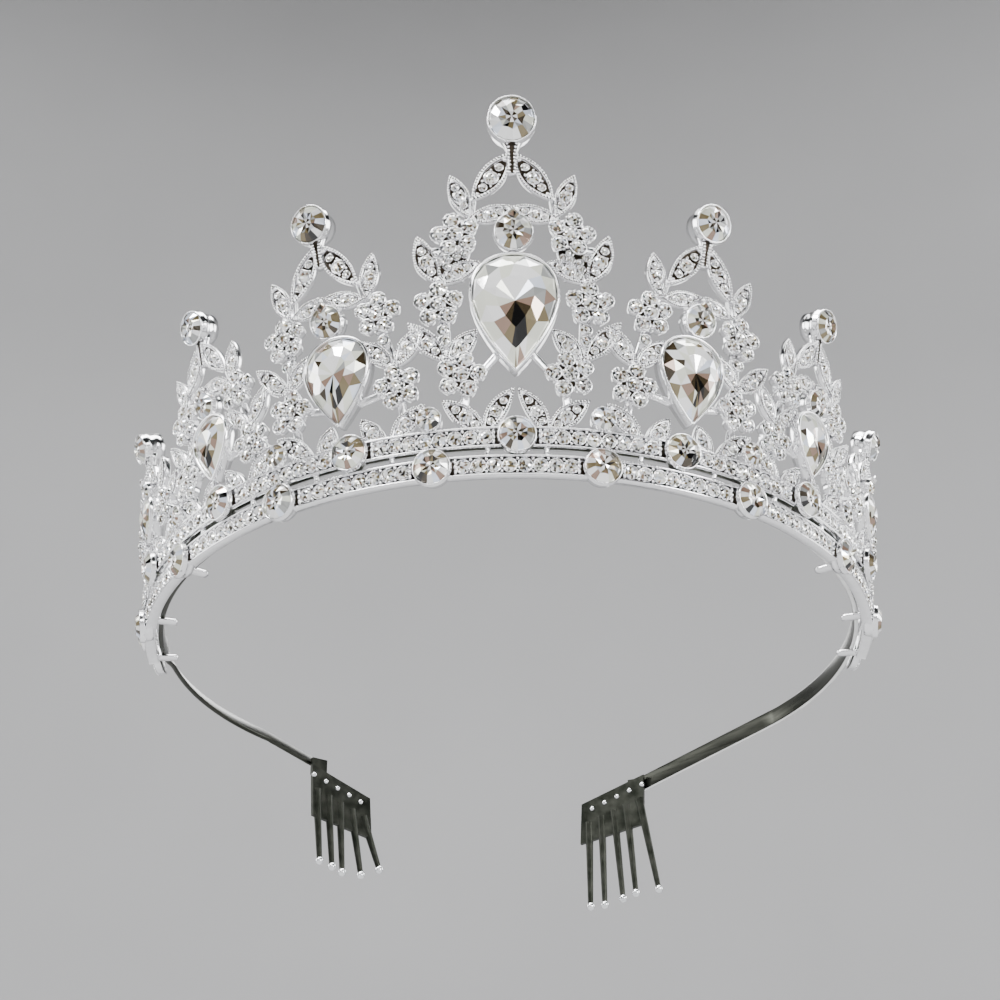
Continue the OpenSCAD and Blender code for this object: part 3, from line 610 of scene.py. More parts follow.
def cut_stone():
    """A small cut stone of unit girdle: a table of eight sides that dips to its middle, a
    ring of crown facets and one of halves down to the girdle, and a shallow pointed back."""
    n = 8
    a = np.arange(n) * 2 * np.pi / n
    rings = circles((0.52, a, 0.42), (0.8, a + np.pi / n, 0.26),
                    (1.0, np.arange(2 * n) * np.pi / n, 0.0))
    pts = np.concatenate([rings, [[0, 0, 0.42 * 0.72], [0, 0, -0.35]]])
    j = np.arange(n)
    k = (j + 1) % n
    m = n + j
    r0, r1, r2 = 2 * n + 2 * j, 2 * n + 2 * j + 1, 2 * n + (2 * j + 2) % (2 * n)
    hub, keel = 4 * n, 4 * n + 1
    corners = ((hub, j, k), (j, m, k), (j, r0, m), (m, r0, r1), (m, r1, r2), (k, m, r2),
               (keel, r1, r0), (keel, r2, r1))
    return pts, facing_out(pts, np.concatenate([join(*c) for c in corners]))


def set_small_stones(name, frames, radius, replaces=()):
    """Small stones at frames, each facet with its own chance tone, mostly pale: painted
    reflections.
    """
    p, t = repeat(cut_stone(), frames, radius)
    tones = tones_by_chance(len(t), SMALL_WEIGHTS)
    make_piece(name, [(p, t, 0, False, tones)], [small_cut], replaces)


def build_leaf_stones(table):
    """In each leaf a stone in its own ring at the middle, a smaller one towards each end, a
    grain at both tips and two pairs of grains beside the middle line."""
    ring = lathe([(1.2, -0.6), (1.22, 0.0), (1.13, 0.14), (1.02, 0.12), (0.98, -0.2)], 14)
    width = table[:, 5]
    meshes, stands, sizes = [], [], []
    for part, size, low, high in ((0.48, 0.3, 0.55, 0.98), (0.71, 0.18, 0.34, 0.56),
                                  (0.27, 0.18, 0.34, 0.56)):
        stands.append(spun(plate_frames(*along_leaf(table.T, part), PLATE_FRONT - 0.1)))
        sizes.append(np.clip(width * size, low, high))
        meshes.append(repeat(ring, stands[-1], sizes[-1]))
    origins, axes = zip(*stands)
    set_small_stones("leaf_stones", (np.concatenate(origins), np.concatenate(axes)),
                     np.concatenate(sizes))
    for part, across, size in ((0.87, 0, 0.27), (0.125, 0, 0.27), (0.6, 0.62, 0.2),
                               (0.6, -0.62, 0.2), (0.36, 0.6, 0.2), (0.36, -0.6, 0.2)):
        spot = along_leaf(table.T, part, across * width / LEAF_STOCK)
        size = size * np.clip(width / LEAF_STOCK, 0.7, 1.15)
        meshes.append(repeat(GRAIN, plate_frames(*spot, PLATE_FRONT - 0.2), size))
    silver_piece("leaf_grains", *meshes)


# Flowers and bars


def flower_table():
    """Every cup of every flower: station angle, flat x and y, outer radius, middle or not.
    Five petals stand on a circle, 72 degrees apart, and the middle comes after them."""
    rows = []
    for k in PEAKS:
        ring, petal = PEAK[abs(k), PETAL_RING], PEAK[abs(k), PETAL_R]
        for side in (1, -1):
            for a, v, turn in FLOWERS[abs(k)]:
                x0 = side_x(k, side * a, v)
                base = 90 - side * (90 - turn)
                for i in range(PETALS):
                    ang = math.radians(base + 72 * i)
                    rows.append([peak_theta(k), x0 + ring * math.cos(ang),
                                 v + ring * math.sin(ang), petal, 0])
                rows.append([peak_theta(k), x0, v, petal * 0.94, 1])
    return np.array(rows)


def build_flowers():
    """Flower cups turned on the lathe through the plate's whole thickness, on a disc whose front
    is dark as painted shade between the petals. Nine beads stand on each cup and a grain
    between two petals, and each cup holds a stone."""
    table = flower_table()
    theta, x, y, r, middle = table.T
    mid = middle > 0
    rim = PLATE_FRONT + PETAL_RISE + 0.12 * middle
    origins, axes = plate_frames(theta, x, y, PLATE_BACK)
    p, t = repeat(PETAL_CUP, (origins, axes), join(r, r, rim - PLATE_BACK))
    sides = 20
    disc = lathe([(1.0, 0.0), (1.0, 1.0)], sides)
    broad = r[mid] * 1.8
    q, s = repeat(disc, (origins[mid], axes[mid]), join(broad, broad, PLATE_FRONT - PLATE_BACK))
    front = np.append(np.arange(sides, 2 * sides), 2 * sides + 1)
    # The disc's front faces take the dark plate: painted shade between the petals
    top = np.all(np.isin(s % len(disc[0]), front), 1)
    make_piece("flower_cups", [(p, t, 0, True, None), (q, s, top.astype(int), False, None)],
               [silver, painted_shade])
    ang = np.arange(CUP_BEADS) * 2 * np.pi / CUP_BEADS
    bx = (x[:, None] + 0.8 * r[:, None] * np.cos(ang)).ravel()
    by = (y[:, None] + 0.8 * r[:, None] * np.sin(ang)).ravel()
    beads = plate_frames(np.repeat(theta, CUP_BEADS), bx, by, np.repeat(rim + 0.02, CUP_BEADS))
    k, valley = np.nonzero(mid)[0], []
    for i in range(PETALS):
        a, b = k - PETALS + i, k - PETALS + (i + 1) % PETALS
        valley.append(join(theta[k], 1.14 * (x[a] + x[b]) / 2 - 0.14 * x[k],
                           1.14 * (y[a] + y[b]) / 2 - 0.14 * y[k], 0.29 * r[a]))
    gt, gx, gy, gr = np.concatenate(valley).T
    silver_piece("flower_beads", repeat(BEAD, beads, 0.17),
                 repeat(GRAIN, plate_frames(gt, gx, gy, PLATE_FRONT + 0.15), gr))
    set_small_stones("flower_crystals", spun(plate_frames(theta, x, y, rim - 0.02)), r * 0.74,
                     ["flower_stones"])


def clear_of_rest(k, spots, radius):
    """Which flat spots on peak k's plate lie clear of its flowers, leaves, cups and pear,
    of the rails and of the cups beside it. Finer stones may come nearer."""
    size, fine = PEAK[abs(k)], radius < 0.8
    near = flower_table()
    near = near[np.isclose(near[:, 0], peak_theta(k))]
    gap = np.hypot(spots[:, :1] - near[:, 1], spots[:, 1:] - near[:, 2]) - near[:, 3]
    clear = np.all(gap > (radius * np.where(fine, 0.3, 0.8))[:, None], 1)
    for *ends, _, width, _ in both_halves(k, LEAVES[abs(k)]):
        tip, foot = np.array(ends).reshape(2, 2)
        t = np.clip((spots - foot) @ (tip - foot) / np.sum((tip - foot) ** 2), 0, 1)
        gap = np.hypot(*(spots - foot - t[:, None] * (tip - foot)).T)
        half = width * 0.5 * np.sin(np.pi * t) ** LEAF_FULLNESS
        clear &= gap > radius * np.where(fine, 0.1, 0.75) + half
    for v, r in ((size[ROUND_V], size[ROUND_R]), (size[TIP_V], size[TIP_R])):
        clear &= np.hypot(spots[:, 0] - side_x(k, 0, v), spots[:, 1] - v) > r + radius
    pear_x, pear_v = side_x(k, 0, size[PEAR_V]), size[PEAR_V]
    clear &= np.hypot((spots[:, 0] - pear_x) / (size[PEAR_W] / 2 + 1.3),
                      (spots[:, 1] - pear_v) / (size[PEAR_H] / 2 + 1.0)) > 1
    clear &= spots[:, 1] > RAIL_FOOT + RAIL_H + radius
    beside = np.hypot(np.abs(spots[:, 0]) - CUP_PITCH, spots[:, 1] - SIDE_CUP_V)
    return clear & (beside > SIDE_CUP_R + radius + 0.3)


def bar_places():
    """Where small stones stand on the bars off the axis, and their radius: evenly along
    each, or in four rows of finer ones on a broad bar, where they are clear of the rest."""
    kept = []
    for k in PEAKS:
        spots = []
        stems = [row for row in STEMS[abs(k)] if row[0] or row[2]]
        for *ends, _, width in both_halves(k, stems):
            start, end = np.array(ends).reshape(2, 2)
            long = np.hypot(*(end - start))
            way = (end - start) / long
            rows, pitch, size = FOUR_ROWS if width > BROAD else ONE_ROW
            for n, across in enumerate(rows):
                t = np.arange(0.4 + pitch / 2 * (n % 2), long, pitch)
                spot = start + way * t[:, None] + across * np.array([-way[1], way[0]])
                spots.append(join(*spot.T, size))
        spots = np.concatenate(spots)
        spots = spots[clear_of_rest(k, spots[:, :2], spots[:, 2])]
        kept.append(join(peak_theta(k), *spots.T))
    return np.concatenate(kept)


def build_bar_stones():
    """Small stones in turned cups along the bars that tie the flowers and leaves."""
    theta, x, y, radius = bar_places().T
    rim = PLATE_FRONT + 0.32
    frames = plate_frames(theta, x, y, PLATE_BACK)
    silver_piece("bar_cups", repeat(PETAL_CUP, frames, join(radius, radius, rim - PLATE_BACK)))
    set_small_stones("bar_crystals", spun(plate_frames(theta, x, y, rim - 0.02)), radius * 0.76)


def build_stems():
    """Bars between flat points and the necks under the tips: a section with bevelled edges,
    whose half width goes from start to end with the fifth power of the way, lofted in nine
    steps. Bars lie below the leaves' floors. Broad fronts are dark as painted shade up to
    the last step, and a row of beads runs up each side of a neck."""
    rows = []
    for k in PEAKS:
        rows += [[peak_theta(k), *ends, width, width]
                 for *ends, _, width in both_halves(k, STEMS[abs(k)])]
        size = PEAK[abs(k)]
        top, foot = size[TIP_V] - size[TIP_R] + 0.6, size[NECK_V] - NECK_DROP
        rows.append([peak_theta(k), side_x(k, 0, foot), foot, side_x(k, 0, top), top,
                     NECK_FOOT, NECK_TOP])
    theta, x0, y0, x1, y1, w0, w1 = np.array(rows).T[:, :, None, None]
    t = np.linspace(0, 1, STEM_STEPS)[None, :, None]
    long = np.hypot(x1 - x0, y1 - y0)
    across, inset, depth = np.array(STEM_SECTION).T
    half = across * np.maximum((w0 + (w1 - w0) * t ** 5) / 2 - inset, 0.1)
    front = np.where(w1 == NECK_TOP, PLATE_FRONT + 0.05, PLATE_FRONT - 0.42)
    points, tris, _ = lofted(plate_points(
        theta, x0 + (x1 - x0) * t - (y1 - y0) / long * half,
        y0 + (y1 - y0) * t + (x1 - x0) / long * half,
        PLATE_BACK + (front - PLATE_BACK) * depth))
    n = len(STEM_SECTION)
    face = np.all((tris % n >= 2) & (tris % n <= 5), 1)
    row, step = tris[:, 0] // (n * STEM_STEPS), (tris // n) % STEM_STEPS
    # Front faces of broad bars, all but the last step, take the dark plate: painted shade
    shade_face = face & (np.maximum(w0, w1)[row, 0, 0] > BROAD) & (np.max(step, 1) < STEM_STEPS - 1)
    make_piece("stems_and_necks", [(points, tris, shade_face.astype(int), True, None)],
               [silver, painted_shade])
    beads = []
    s = np.linspace(0.02, 0.86, NECK_BEADS)
    for theta, x0, y0, x1, y1, _, w1 in rows:
        for side in (-1, 1) if w1 == NECK_TOP else ():
            x = x0 + (x1 - x0) * s + side * (0.4 + 0.6 * s ** 5)
            beads.append(join(theta, x, y0 + (y1 - y0) * s))
    frames = plate_frames(*np.concatenate(beads).T, PLATE_FRONT + 0.1)
    silver_piece("neck_beads", repeat(BEAD, frames, 0.25))


# Rails


def build_rails():
    """Two rails: a channel section with rounded rims swept round the ring and capped at its
    ends, dark along its floor as painted shade; and waisted pegs upright in the gap between
    them."""
    theta = np.linspace(-RAIL_END, RAIL_END, 361) / RING_R
    lower = [(0.05, 0), (0.0, 0.08), (0.0, RAIL_T - 0.1), (0.06, RAIL_T), (0.17, RAIL_T + 0.05),
             (0.28, RAIL_T), (0.34, RAIL_T - 0.1), (0.36, RAIL_FLOOR + 0.05), (0.42, RAIL_FLOOR)]
    v, w = np.array(lower + [(RAIL_H - a, b) for a, b in lower[::-1]]).T
    n = len(v)
    i = np.arange(0, n // 2 - 1)
    cap = triangles(join(i, i + 1, n - 2 - i, n - 1 - i))
    sweep = triangles(grid_faces(len(theta), n))
    parts = []
    for foot in (0.0, RAIL_FOOT):
        pts = cone_points(theta[:, None], foot + v[None], w[None]).reshape(-1, 3)
        tris = np.concatenate([sweep, cap, cap[:, ::-1] + (len(theta) - 1) * n])
        count = np.arange(len(tris))
        # The floor row takes the dark plate: painted shade in the channel
        floor = (count < len(sweep)) & (count % n == len(lower) - 1)
        parts.append((pts, facing_out(pts, tris), floor.astype(int), True, None))
    make_piece("rail_channels", parts, [silver, painted_shade], ["crown_casting"])
    peg = lathe([(0.45, 0.0), (0.32, 0.3), (0.3, 0.7), (0.45, 1.0)], 12)
    both = np.concatenate([PEGS, -PEGS])
    origins, axes = station_frames(both, RAIL_H - 0.1, 0.9)
    upright = axes[:, [0, 2, 1]] * np.array([1, -1, 1])[None, :, None]
    size = np.tile([1.1, 1.1, RAIL_GAP + 0.2], (len(both), 1))
    silver_piece("rail_pegs", repeat(peg, (origins, upright), size))


def rail_stone_places():
    """Arc lengths and height of the small stones on the lower and the upper rail, left out
    where that rail's cups stand."""
    keep = RAIL_CUP_R + RAIL_STONE_R + 0.12
    reach = RAIL_END - RAIL_STONE_R - 0.6
    count = math.ceil(reach / RAIL_STONE_PITCH) + RAIL_PLACES
    places = []
    for v, offset in RAIL_ROWS:
        u = offset + np.arange(-count, count + 1) * RAIL_STONE_PITCH
        nearest = np.round((u - offset) / PEAK_PITCH) * PEAK_PITCH + offset
        places.append((u[(np.abs(u - nearest) > keep) & (np.abs(u) < reach)], v))
    return places


def build_rail_stones():
    """Small stones along both rails in thin collars, with a pair of grains halfway between
    two stones, and three grains beside each cup and at the lower rail's ends."""
    places = rail_stone_places()
    u, v = np.concatenate([join(run, middle) for run, middle in places]).T
    w = RAIL_FLOOR + 0.6
    frames = station_frames(u, v, w)
    set_small_stones("rail_crystals", spun(frames), RAIL_STONE_R,
                     ["lower_rail_stones", "upper_rail_stones"])
    collar = lathe([(1.12, -0.62), (1.14, 0.16), (1.09, 0.24), (1.02, 0.2), (0.97, -0.1)], 18)
    meshes = [repeat(collar, frames, RAIL_STONE_R)]

    def grains(at, height, out, size):
        meshes.append(repeat(GRAIN, station_frames(at, height, out), size))

    for run, middle in places:
        half = RAIL_STONE_PITCH / 2 * np.repeat([-1, 1], len(run))
        between = np.unique(np.round(np.tile(run, 2) + half, 3))
        for rise in (-0.92, 0.92):
            grains(between, middle + rise, w + 0.2, 0.24)
    for middle, offset in RAIL_ROWS:
        cups = np.arange(-5, 5) * PEAK_PITCH + offset
        flank = (cups[:, None] + np.array([-1, 1]) * (RAIL_CUP_R + 0.3)).ravel()
        flank = flank[np.abs(flank) < RAIL_END - 1]
        if middle == LOWER_V:
            flank = np.append(flank, [0.8 - RAIL_END, RAIL_END - 0.8])
        for rise, size in ((-0.66, 0.3), (0, 0.36), (0.66, 0.3)):
            grains(flank, middle + rise, w + 0.1, size)
    silver_piece("rail_collars", *meshes)


# Round cups


def round_table():
    """Every round cup: angle, v, outer radius, back and tilt, and its stone's node."""
    rows, nodes = [], []
    for k in PEAKS:
        size = PEAK[abs(k)]
        for kind, v, r, back in (("round", size[ROUND_V], size[ROUND_R], ROUND_BACK),
                                 ("tip", size[TIP_V], size[TIP_R], TIP_BACK)):
            rows.append([axis_theta(k, v), v, r, back, CUP_TILT])
            nodes.append(kind + "_stone_" + tag(k))
    for n in range(-8, 9):
        v = LOWER_V if n % 2 else UPPER_V
        rows.append([n * CUP_PITCH / RING_R, v, RAIL_CUP_R, CUP_BACK, 0])
        nodes.append("rail_cup_stone_" + tag(n))
    for n in (-3, -2, -1, 1, 2, 3):
        u = (abs(n) - 0.5) * PEAK_PITCH + SIDE_CUP_OFF
        rows.append([math.copysign(u, n) / RING_R, SIDE_CUP_V, SIDE_CUP_R, CUP_BACK, 0])
        nodes.append("side_stone_" + tag(n))
    return np.array(rows), nodes


def nodding(theta, v, tilt, w):
    """Frames on the leaning face at w 0, nodded down about their sideways axis by a tilt,
    then moved w along their new outward axis."""
    c, s = np.cos(tilt), np.sin(tilt)
    nod = np.zeros((len(theta), 3, 3))
    nod[:, 0, 0], nod[:, 1, 1], nod[:, 1, 2], nod[:, 2, 1], nod[:, 2, 2] = 1, c, s, -s, c
    axes = np.einsum("mij,mjk->mik", nod, axes_at(theta))
    return cone_points(theta, v, 0.0) + np.asarray(w)[:, None] * axes[:, 2], axes


def mosaic():
    """A round cut stone of unit girdle: sixteen wedges that fan in from the girdle to the
    table's edge, then eight stars and eight points in a shallow dish, over a plain keel.
    Each face's band counts from the girdle in: 0 wedges, 1 stars, 2 points, 3 below."""
    n = WEDGES
    a = np.arange(n) * 2 * np.pi / n
    b = np.arange(8) * np.pi / 4 + np.pi / 8
    inner = np.where(np.arange(n) % 2 == 0, 0.62, 0.54)
    rings = circles((1.0, a, 0.03), (inner, a, 0.36), (0.27, b, 0.27), (1.0, a, -0.06),
                    (0.5, a, -0.42))
    pts = np.concatenate([rings, [[0, 0, 0.34], [0, 0, -0.5]]])
    i = np.arange(n)
    j = (i + 1) % n
    e = np.arange(8)
    f = (e + 1) % 8
    edge, star, low, keel, middle, point = n, 2 * n, 2 * n + 8, 3 * n + 8, 4 * n + 8, 4 * n + 9
    even, odd, after = edge + 2 * e, edge + 2 * e + 1, edge + (2 * e + 2) % n
    groups = [
        join(i, j, edge + j), join(i, edge + j, edge + i),
        join(even, odd, star + e), join(odd, after, star + e),
        join(after, star + f, star + e),
        join(middle, star + e, star + f),
        triangles(join(j, i, low + i, low + j)),
        triangles(join(low + j, low + i, keel + i, keel + j)),
        join(point, keel + j, keel + i),
    ]
    band = np.repeat([0, 0, 1, 1, 1, 2, 3, 3, 3], [len(g) for g in groups])
    wedge = np.concatenate([i, i, e, e, e, e, np.zeros(5 * n, int)])
    return pts, facing_out(pts, np.concatenate(groups)), band, wedge


def mosaic_tones(count, band, wedge):
    """Tones of each stone's faces, painted reflections: wedges pale and brown by turns, some
    stones darker than others, stars by chance, points dark and white by turns, and greenish
    white below."""
    dark = chance.uniform(0.35, 0.95, count)[:, None]
    pick = chance.random((count, WEDGES))
    odd = (np.arange(WEDGES)[None] + chance.integers(0, 2, count)[:, None]) % 2 == 1
    brown = odd & (pick < dark) | (pick > 0.93)
    pale = chance.choice([0, 0, 1, 6, 2], (count, WEDGES))
    deep = chance.choice([3, 4, 3, 3, 7, 5], (count, WEDGES))
    wedges = np.where(brown, deep, pale)
    star = chance.choice([0, 1, 6, 3, 4, 3, 2, 5, 7], (count, len(band)))
    point = np.where((wedge[None] + chance.integers(0, 2, count)[:, None]) % 2 == 0, 4, 0)
    tones = np.where(band[None] == 0, wedges[:, wedge], np.where(band[None] == 1, star, point))
    return REFLECTION_TONES[np.where(band[None] == 3, 1, tones)].reshape(-1, 3)


def build_round_cups():
    """Drum cups turned on the lathe with a stepped side and a thin lip, and in each a stone
    cut as a mosaic of toned facets. The rim rises with the cup's radius."""
    table, nodes = round_table()
    theta, v, r, back, tilt = table.T
    rim = RIM_LOW + RIM_RISE * r
    cup = lathe([(0.7, 0.0), (0.86, 0.02), (0.9, 0.3), (0.93, 0.55), (0.975, 0.6), (1.0, 0.68),
                 (1.0, 0.74), (0.975, 0.8), (0.975, 0.93), (0.96, 0.99), (0.935, 1.0),
                 (0.91, 0.97), (0.89, 0.86), (0.875, 0.55)], 44)
    size = join(r, r, rim - back)
    silver_piece("round_cups", repeat(cup, nodding(theta, v, tilt, back), size))
    pts, tris, band, wedge = mosaic()
    frames = spun(nodding(theta, v, tilt, rim - GIRDLE_DROP))
    p, t = repeat((pts, tris), frames, r * 0.885)
    make_piece("round_stones", [(p, t, 0, False, mosaic_tones(len(r), band, wedge))],
               [large_cut], nodes)


# Pears


def pear_loop(width, height, n, grow=0.0):
    """Outline of a pear, round end up: half width sine t times cosine of half t, height
    cosine t, shrunk inwards along its own normal by grow, or grown where that is negative."""
    t = 2 * np.pi * (np.arange(n) + 0.5) / n - np.pi
    x = -width / 2 / PEAR_FULLNESS * np.sin(t) * np.cos(t / 2)
    y = height / 2 * np.cos(t)
    dx, dy = np.roll(x, -1) - np.roll(x, 1), np.roll(y, -1) - np.roll(y, 1)
    long = np.hypot(dx, dy)
    return x - grow * dy / long, y + grow * dx / long


def build_pears():
    """Bezels lofted from pear outlines, each grown by its step of the profile, and the pears
    themselves."""
    profile = ((-0.3, -0.1), (BEZEL_T * 0.7, 0.0), (BEZEL_T * 0.85, 1.3), (BEZEL_T, 1.7),
               (BEZEL_T * 0.95, BEZEL_RIM - 0.3), (BEZEL_T * 0.7, BEZEL_RIM - 0.12),
               (BEZEL_T * 0.35, BEZEL_RIM - 0.1), (0.02, BEZEL_RIM - 0.2), (-0.02, 1.6),
               (-0.1, 1.05))
    bezels, stones = [], []
    for k in PEAKS:
        width, height = PEAK[abs(k), PEAR_W], PEAK[abs(k), PEAR_H]
        v = PEAK[abs(k), PEAR_V]
        theta = np.array([axis_theta(k, v)])
        place = cone_points(theta, v, 0.0), axes_at(theta)[0]
        loops = [join(*pear_loop(width, height, 72, -grow), w) for grow, w in profile]
        points, tris, _ = lofted(np.stack(loops)[None])
        bezels.append((points @ place[1] + place[0], tris))
        stones.append(pear_facets(k, width - 0.1, height - 0.14, *place))
    silver_piece("pear_bezels", *bezels)
    make_piece("pear_stones", stones, [pear_cut],
               ["pear_stone_" + tag(k) for k in PEAKS])


def pear_facets(k, width, height, origin, axes):
    """A pear cut as rings of wedges about a point above its middle: the outer two rise to
    the table's edge and the inner one sinks to the point, with a plain keel below. Beside
    the front pear some facets change their tone by chance."""
    n = WEDGES
    x, y = pear_loop(width, height, n)
    hub, crown, girdle = 0.05 * height, 0.17 * width, BEZEL_RIM - PEAR_DROP
    shift = np.stack([np.roll(x, -1) + x, np.roll(y, -1) + y], 0) / 2
    rings = [join(part * rx, hub + part * (ry - hub), girdle + z)
             for part, z, (rx, ry) in (
                 (1.0, 0.1, (x, y)), (0.76, 0.62 * crown, shift), (0.46, crown, (x, y)),
                 (1.0, -0.1, (x, y)), (0.5, CUP_FLOOR + 0.1 - girdle, (x, y)))]
    ends = [[0, hub, girdle + crown - 0.05 * width], [0, hub, CUP_FLOOR + 0.08]]
    pts = np.concatenate(rings + [ends])
    i = np.arange(n)
    j = (i + 1) % n
    groups = [
        join(5 * n, 2 * n + i, 2 * n + j),
        join(2 * n + i, n + i, 2 * n + j), join(n + i, n + j, 2 * n + j),
        join(i, j, n + i), join(j, n + j, n + i),
        triangles(join(j, i, 3 * n + i, 3 * n + j)),
        triangles(join(3 * n + j, 3 * n + i, 4 * n + i, 4 * n + j)),
        join(5 * n + 1, 4 * n + j, 4 * n + i),
    ]
    # The wedges' tones are painted reflections
    inner, middle, outer = PEAR_TONES
    tone = np.concatenate([inner, middle, np.roll(middle, -1), outer, np.roll(outer, 3),
                           np.ones(5 * n, int)])
    if k != 0:
        loose = chance.random(len(tone)) < 0.3
        tone = np.where(loose, chance.choice([0, 1, 6, 3, 7, 4], len(tone)), tone)
    return pts @ axes + origin, facing_out(pts, np.concatenate(groups)), 0, False, REFLECTION_TONES[tone]


def build_arch_points():
    """A four-sided cushion with a rim over the upper edge of each round stone, where the
    arches meet, with a pointed stone of chance tones, mostly brown."""
    v = PEAK[np.abs(PEAKS), ROUND_V] + PEAK[np.abs(PEAKS), ROUND_R] * 0.62
    r = 0.36 * PEAK[np.abs(PEAKS), ROUND_R]
    x = np.array([side_x(k, 0, a) for k, a in zip(PEAKS, v)])
    place = (peak_theta(np.array(PEAKS)), x, v)
    tall = 1.9 + 1.4 * r - PLATE_BACK
    cushion = lathe([(0.9, 0.0), (1.0, 0.7), (1.0, 0.93), (0.88, 1.0), (0.76, 0.97),
                     (0.7, 0.9)], 4)
    p, t = repeat(cushion, plate_frames(*place, PLATE_BACK), join(r, r * 1.15, tall))
    make_piece("arch_points", [(p, t, 0, False, None)], [silver])
    gem = lathe([(0.8, -0.3), (0.8, 0.0), (0.4, 0.26)], 4)
    p, t = repeat(gem, plate_frames(*place, PLATE_BACK + tall - 0.12),
                  join(r, r * 1.15, r))
    # The gem's chance tones are painted reflections
    make_piece("arch_gems", [(p, t, 0, False, tones_by_chance(len(t), BROWN_WEIGHTS))],
               [small_cut])


# Headband and combs


def strip_end(side, level_to, sweep, dip):
    """Points and tangents along a straight end of the strip: from the end of the level arc
    along the chord of the next stretch, dipped by an angle."""
    a, b = math.radians(level_to), math.radians(level_to + sweep / 2)
    start = np.array([side * BAND_R * math.sin(a), -BAND_R * math.cos(a), BAND_Z + BAND_H / 2])
    slope = math.radians(dip)
    way = np.array([side * math.cos(b) * math.cos(slope), math.sin(b) * math.cos(slope),
                    -math.sin(slope)])
    chord = 2 * BAND_R * math.sin(math.radians(sweep / 2))
    run = np.linspace(0, chord, TAIL_STEPS + 1)[1:, None]
    return start + run * way, np.repeat(way[None], TAIL_STEPS, 0)


def build_strip():
    """The steel strip: a rectangle with rounded edges swept along the level arc and both
    straight ends. Its left arm leans over behind the casting's last tab, and the lower edge
    of its right arm carries a painted highlight in a bright metal."""
    left_to = LEFT_COMB_AT + COMB_LAP - LEFT_TAIL[0]
    right_to = RIGHT_COMB_AT + COMB_LAP - RIGHT_TAIL[0]
    th = np.radians(np.linspace(-left_to, right_to, 260))
    zero = np.zeros(len(th))
    arc = join(BAND_R * np.sin(th), -BAND_R * np.cos(th), zero + BAND_Z + BAND_H / 2)
    left, left_way = strip_end(-1, left_to, *LEFT_TAIL)
    right, right_way = strip_end(1, right_to, *RIGHT_TAIL)
    path = np.concatenate([left[::-1], arc, right])
    way = np.concatenate([-left_way[::-1], join(np.cos(th), np.sin(th), zero), right_way])
    lean = np.radians(LEFT_LEAN) * np.concatenate([
        np.ones(len(left)), np.clip((-np.degrees(th) - LEAN_AT) / 4, 0, 1),
        np.zeros(len(right))])
    out = np.cross(way, [0, 0, 1.0])
    out /= np.linalg.norm(out, axis=1)[:, None]
    up = np.cross(out, way)
    c, s = np.cos(lean)[:, None], np.sin(lean)[:, None]
    tall, broad = c * up + s * out, c * out - s * up
    h, t, e = BAND_H / 2, BAND_T, 0.24
    f = 0.3 * e
    section = np.array([(e - h, 0), (h - e, 0), (h - f, -f), (h, -e), (h, e - t), (h - f, f - t),
                        (h - e, -t), (e - h, -t), (f - h, f - t), (-h, e - t), (-h, -e),
                        (f - h, -f)])
    layers = (path[:, None] + section[None, :, :1] * tall[:, None]
              + section[None, :, 1:] * broad[:, None])
    points, tris, _ = lofted(layers[None])
    n = len(section)
    # Bottom-edge faces of the right arm: painted highlight where a lamp catches the edge
    highlight_faces = np.all(tris % n >= 8, 1) & (tris[:, 0] // n > len(left) + len(arc) // 2)
    make_piece("steel_strip", [(points, tris, highlight_faces.astype(int), True, None)],
               [band_steel, painted_highlight_edge], ["headband"])


def build_tabs():
    """Tabs turned in under the strip from the lower rail's back: a flat section that narrows
    towards both ends of each tab."""
    angles = np.radians(np.concatenate([TAB_ANGLES, -TAB_ANGLES]))
    s = np.linspace(0, 1, 9)
    half = TAB_HALF * np.sqrt(1 - (2 * s - 1) ** 8 * 0.6)
    depth = RING_R + TAB_ROOT - (TAB_ROOT + TAB_REACH) * s
    section = np.array([(-1, -0.2), (-0.8, -0.28), (0.8, -0.28), (1, -0.2), (1, 0.2),
                        (0.8, 0.27), (-0.8, 0.27), (-1, 0.2)])
    across = join(np.cos(angles), np.sin(angles), 0 * angles)
    inward = join(-np.sin(angles), np.cos(angles), 0 * angles)
    z = BAND_Z - TAB_CLEAR - TAB_T / 2
    layers = (across[:, None, None] * (half[:, None] * section[None, :, 0])[None, :, :, None]
              - inward[:, None, None] * depth[None, :, None, None]
              + np.array([0, 0, 1.0]) * (z + section[:, 1])[None, None, :, None])
    silver_piece("clasp_tabs", lofted(layers)[:2])


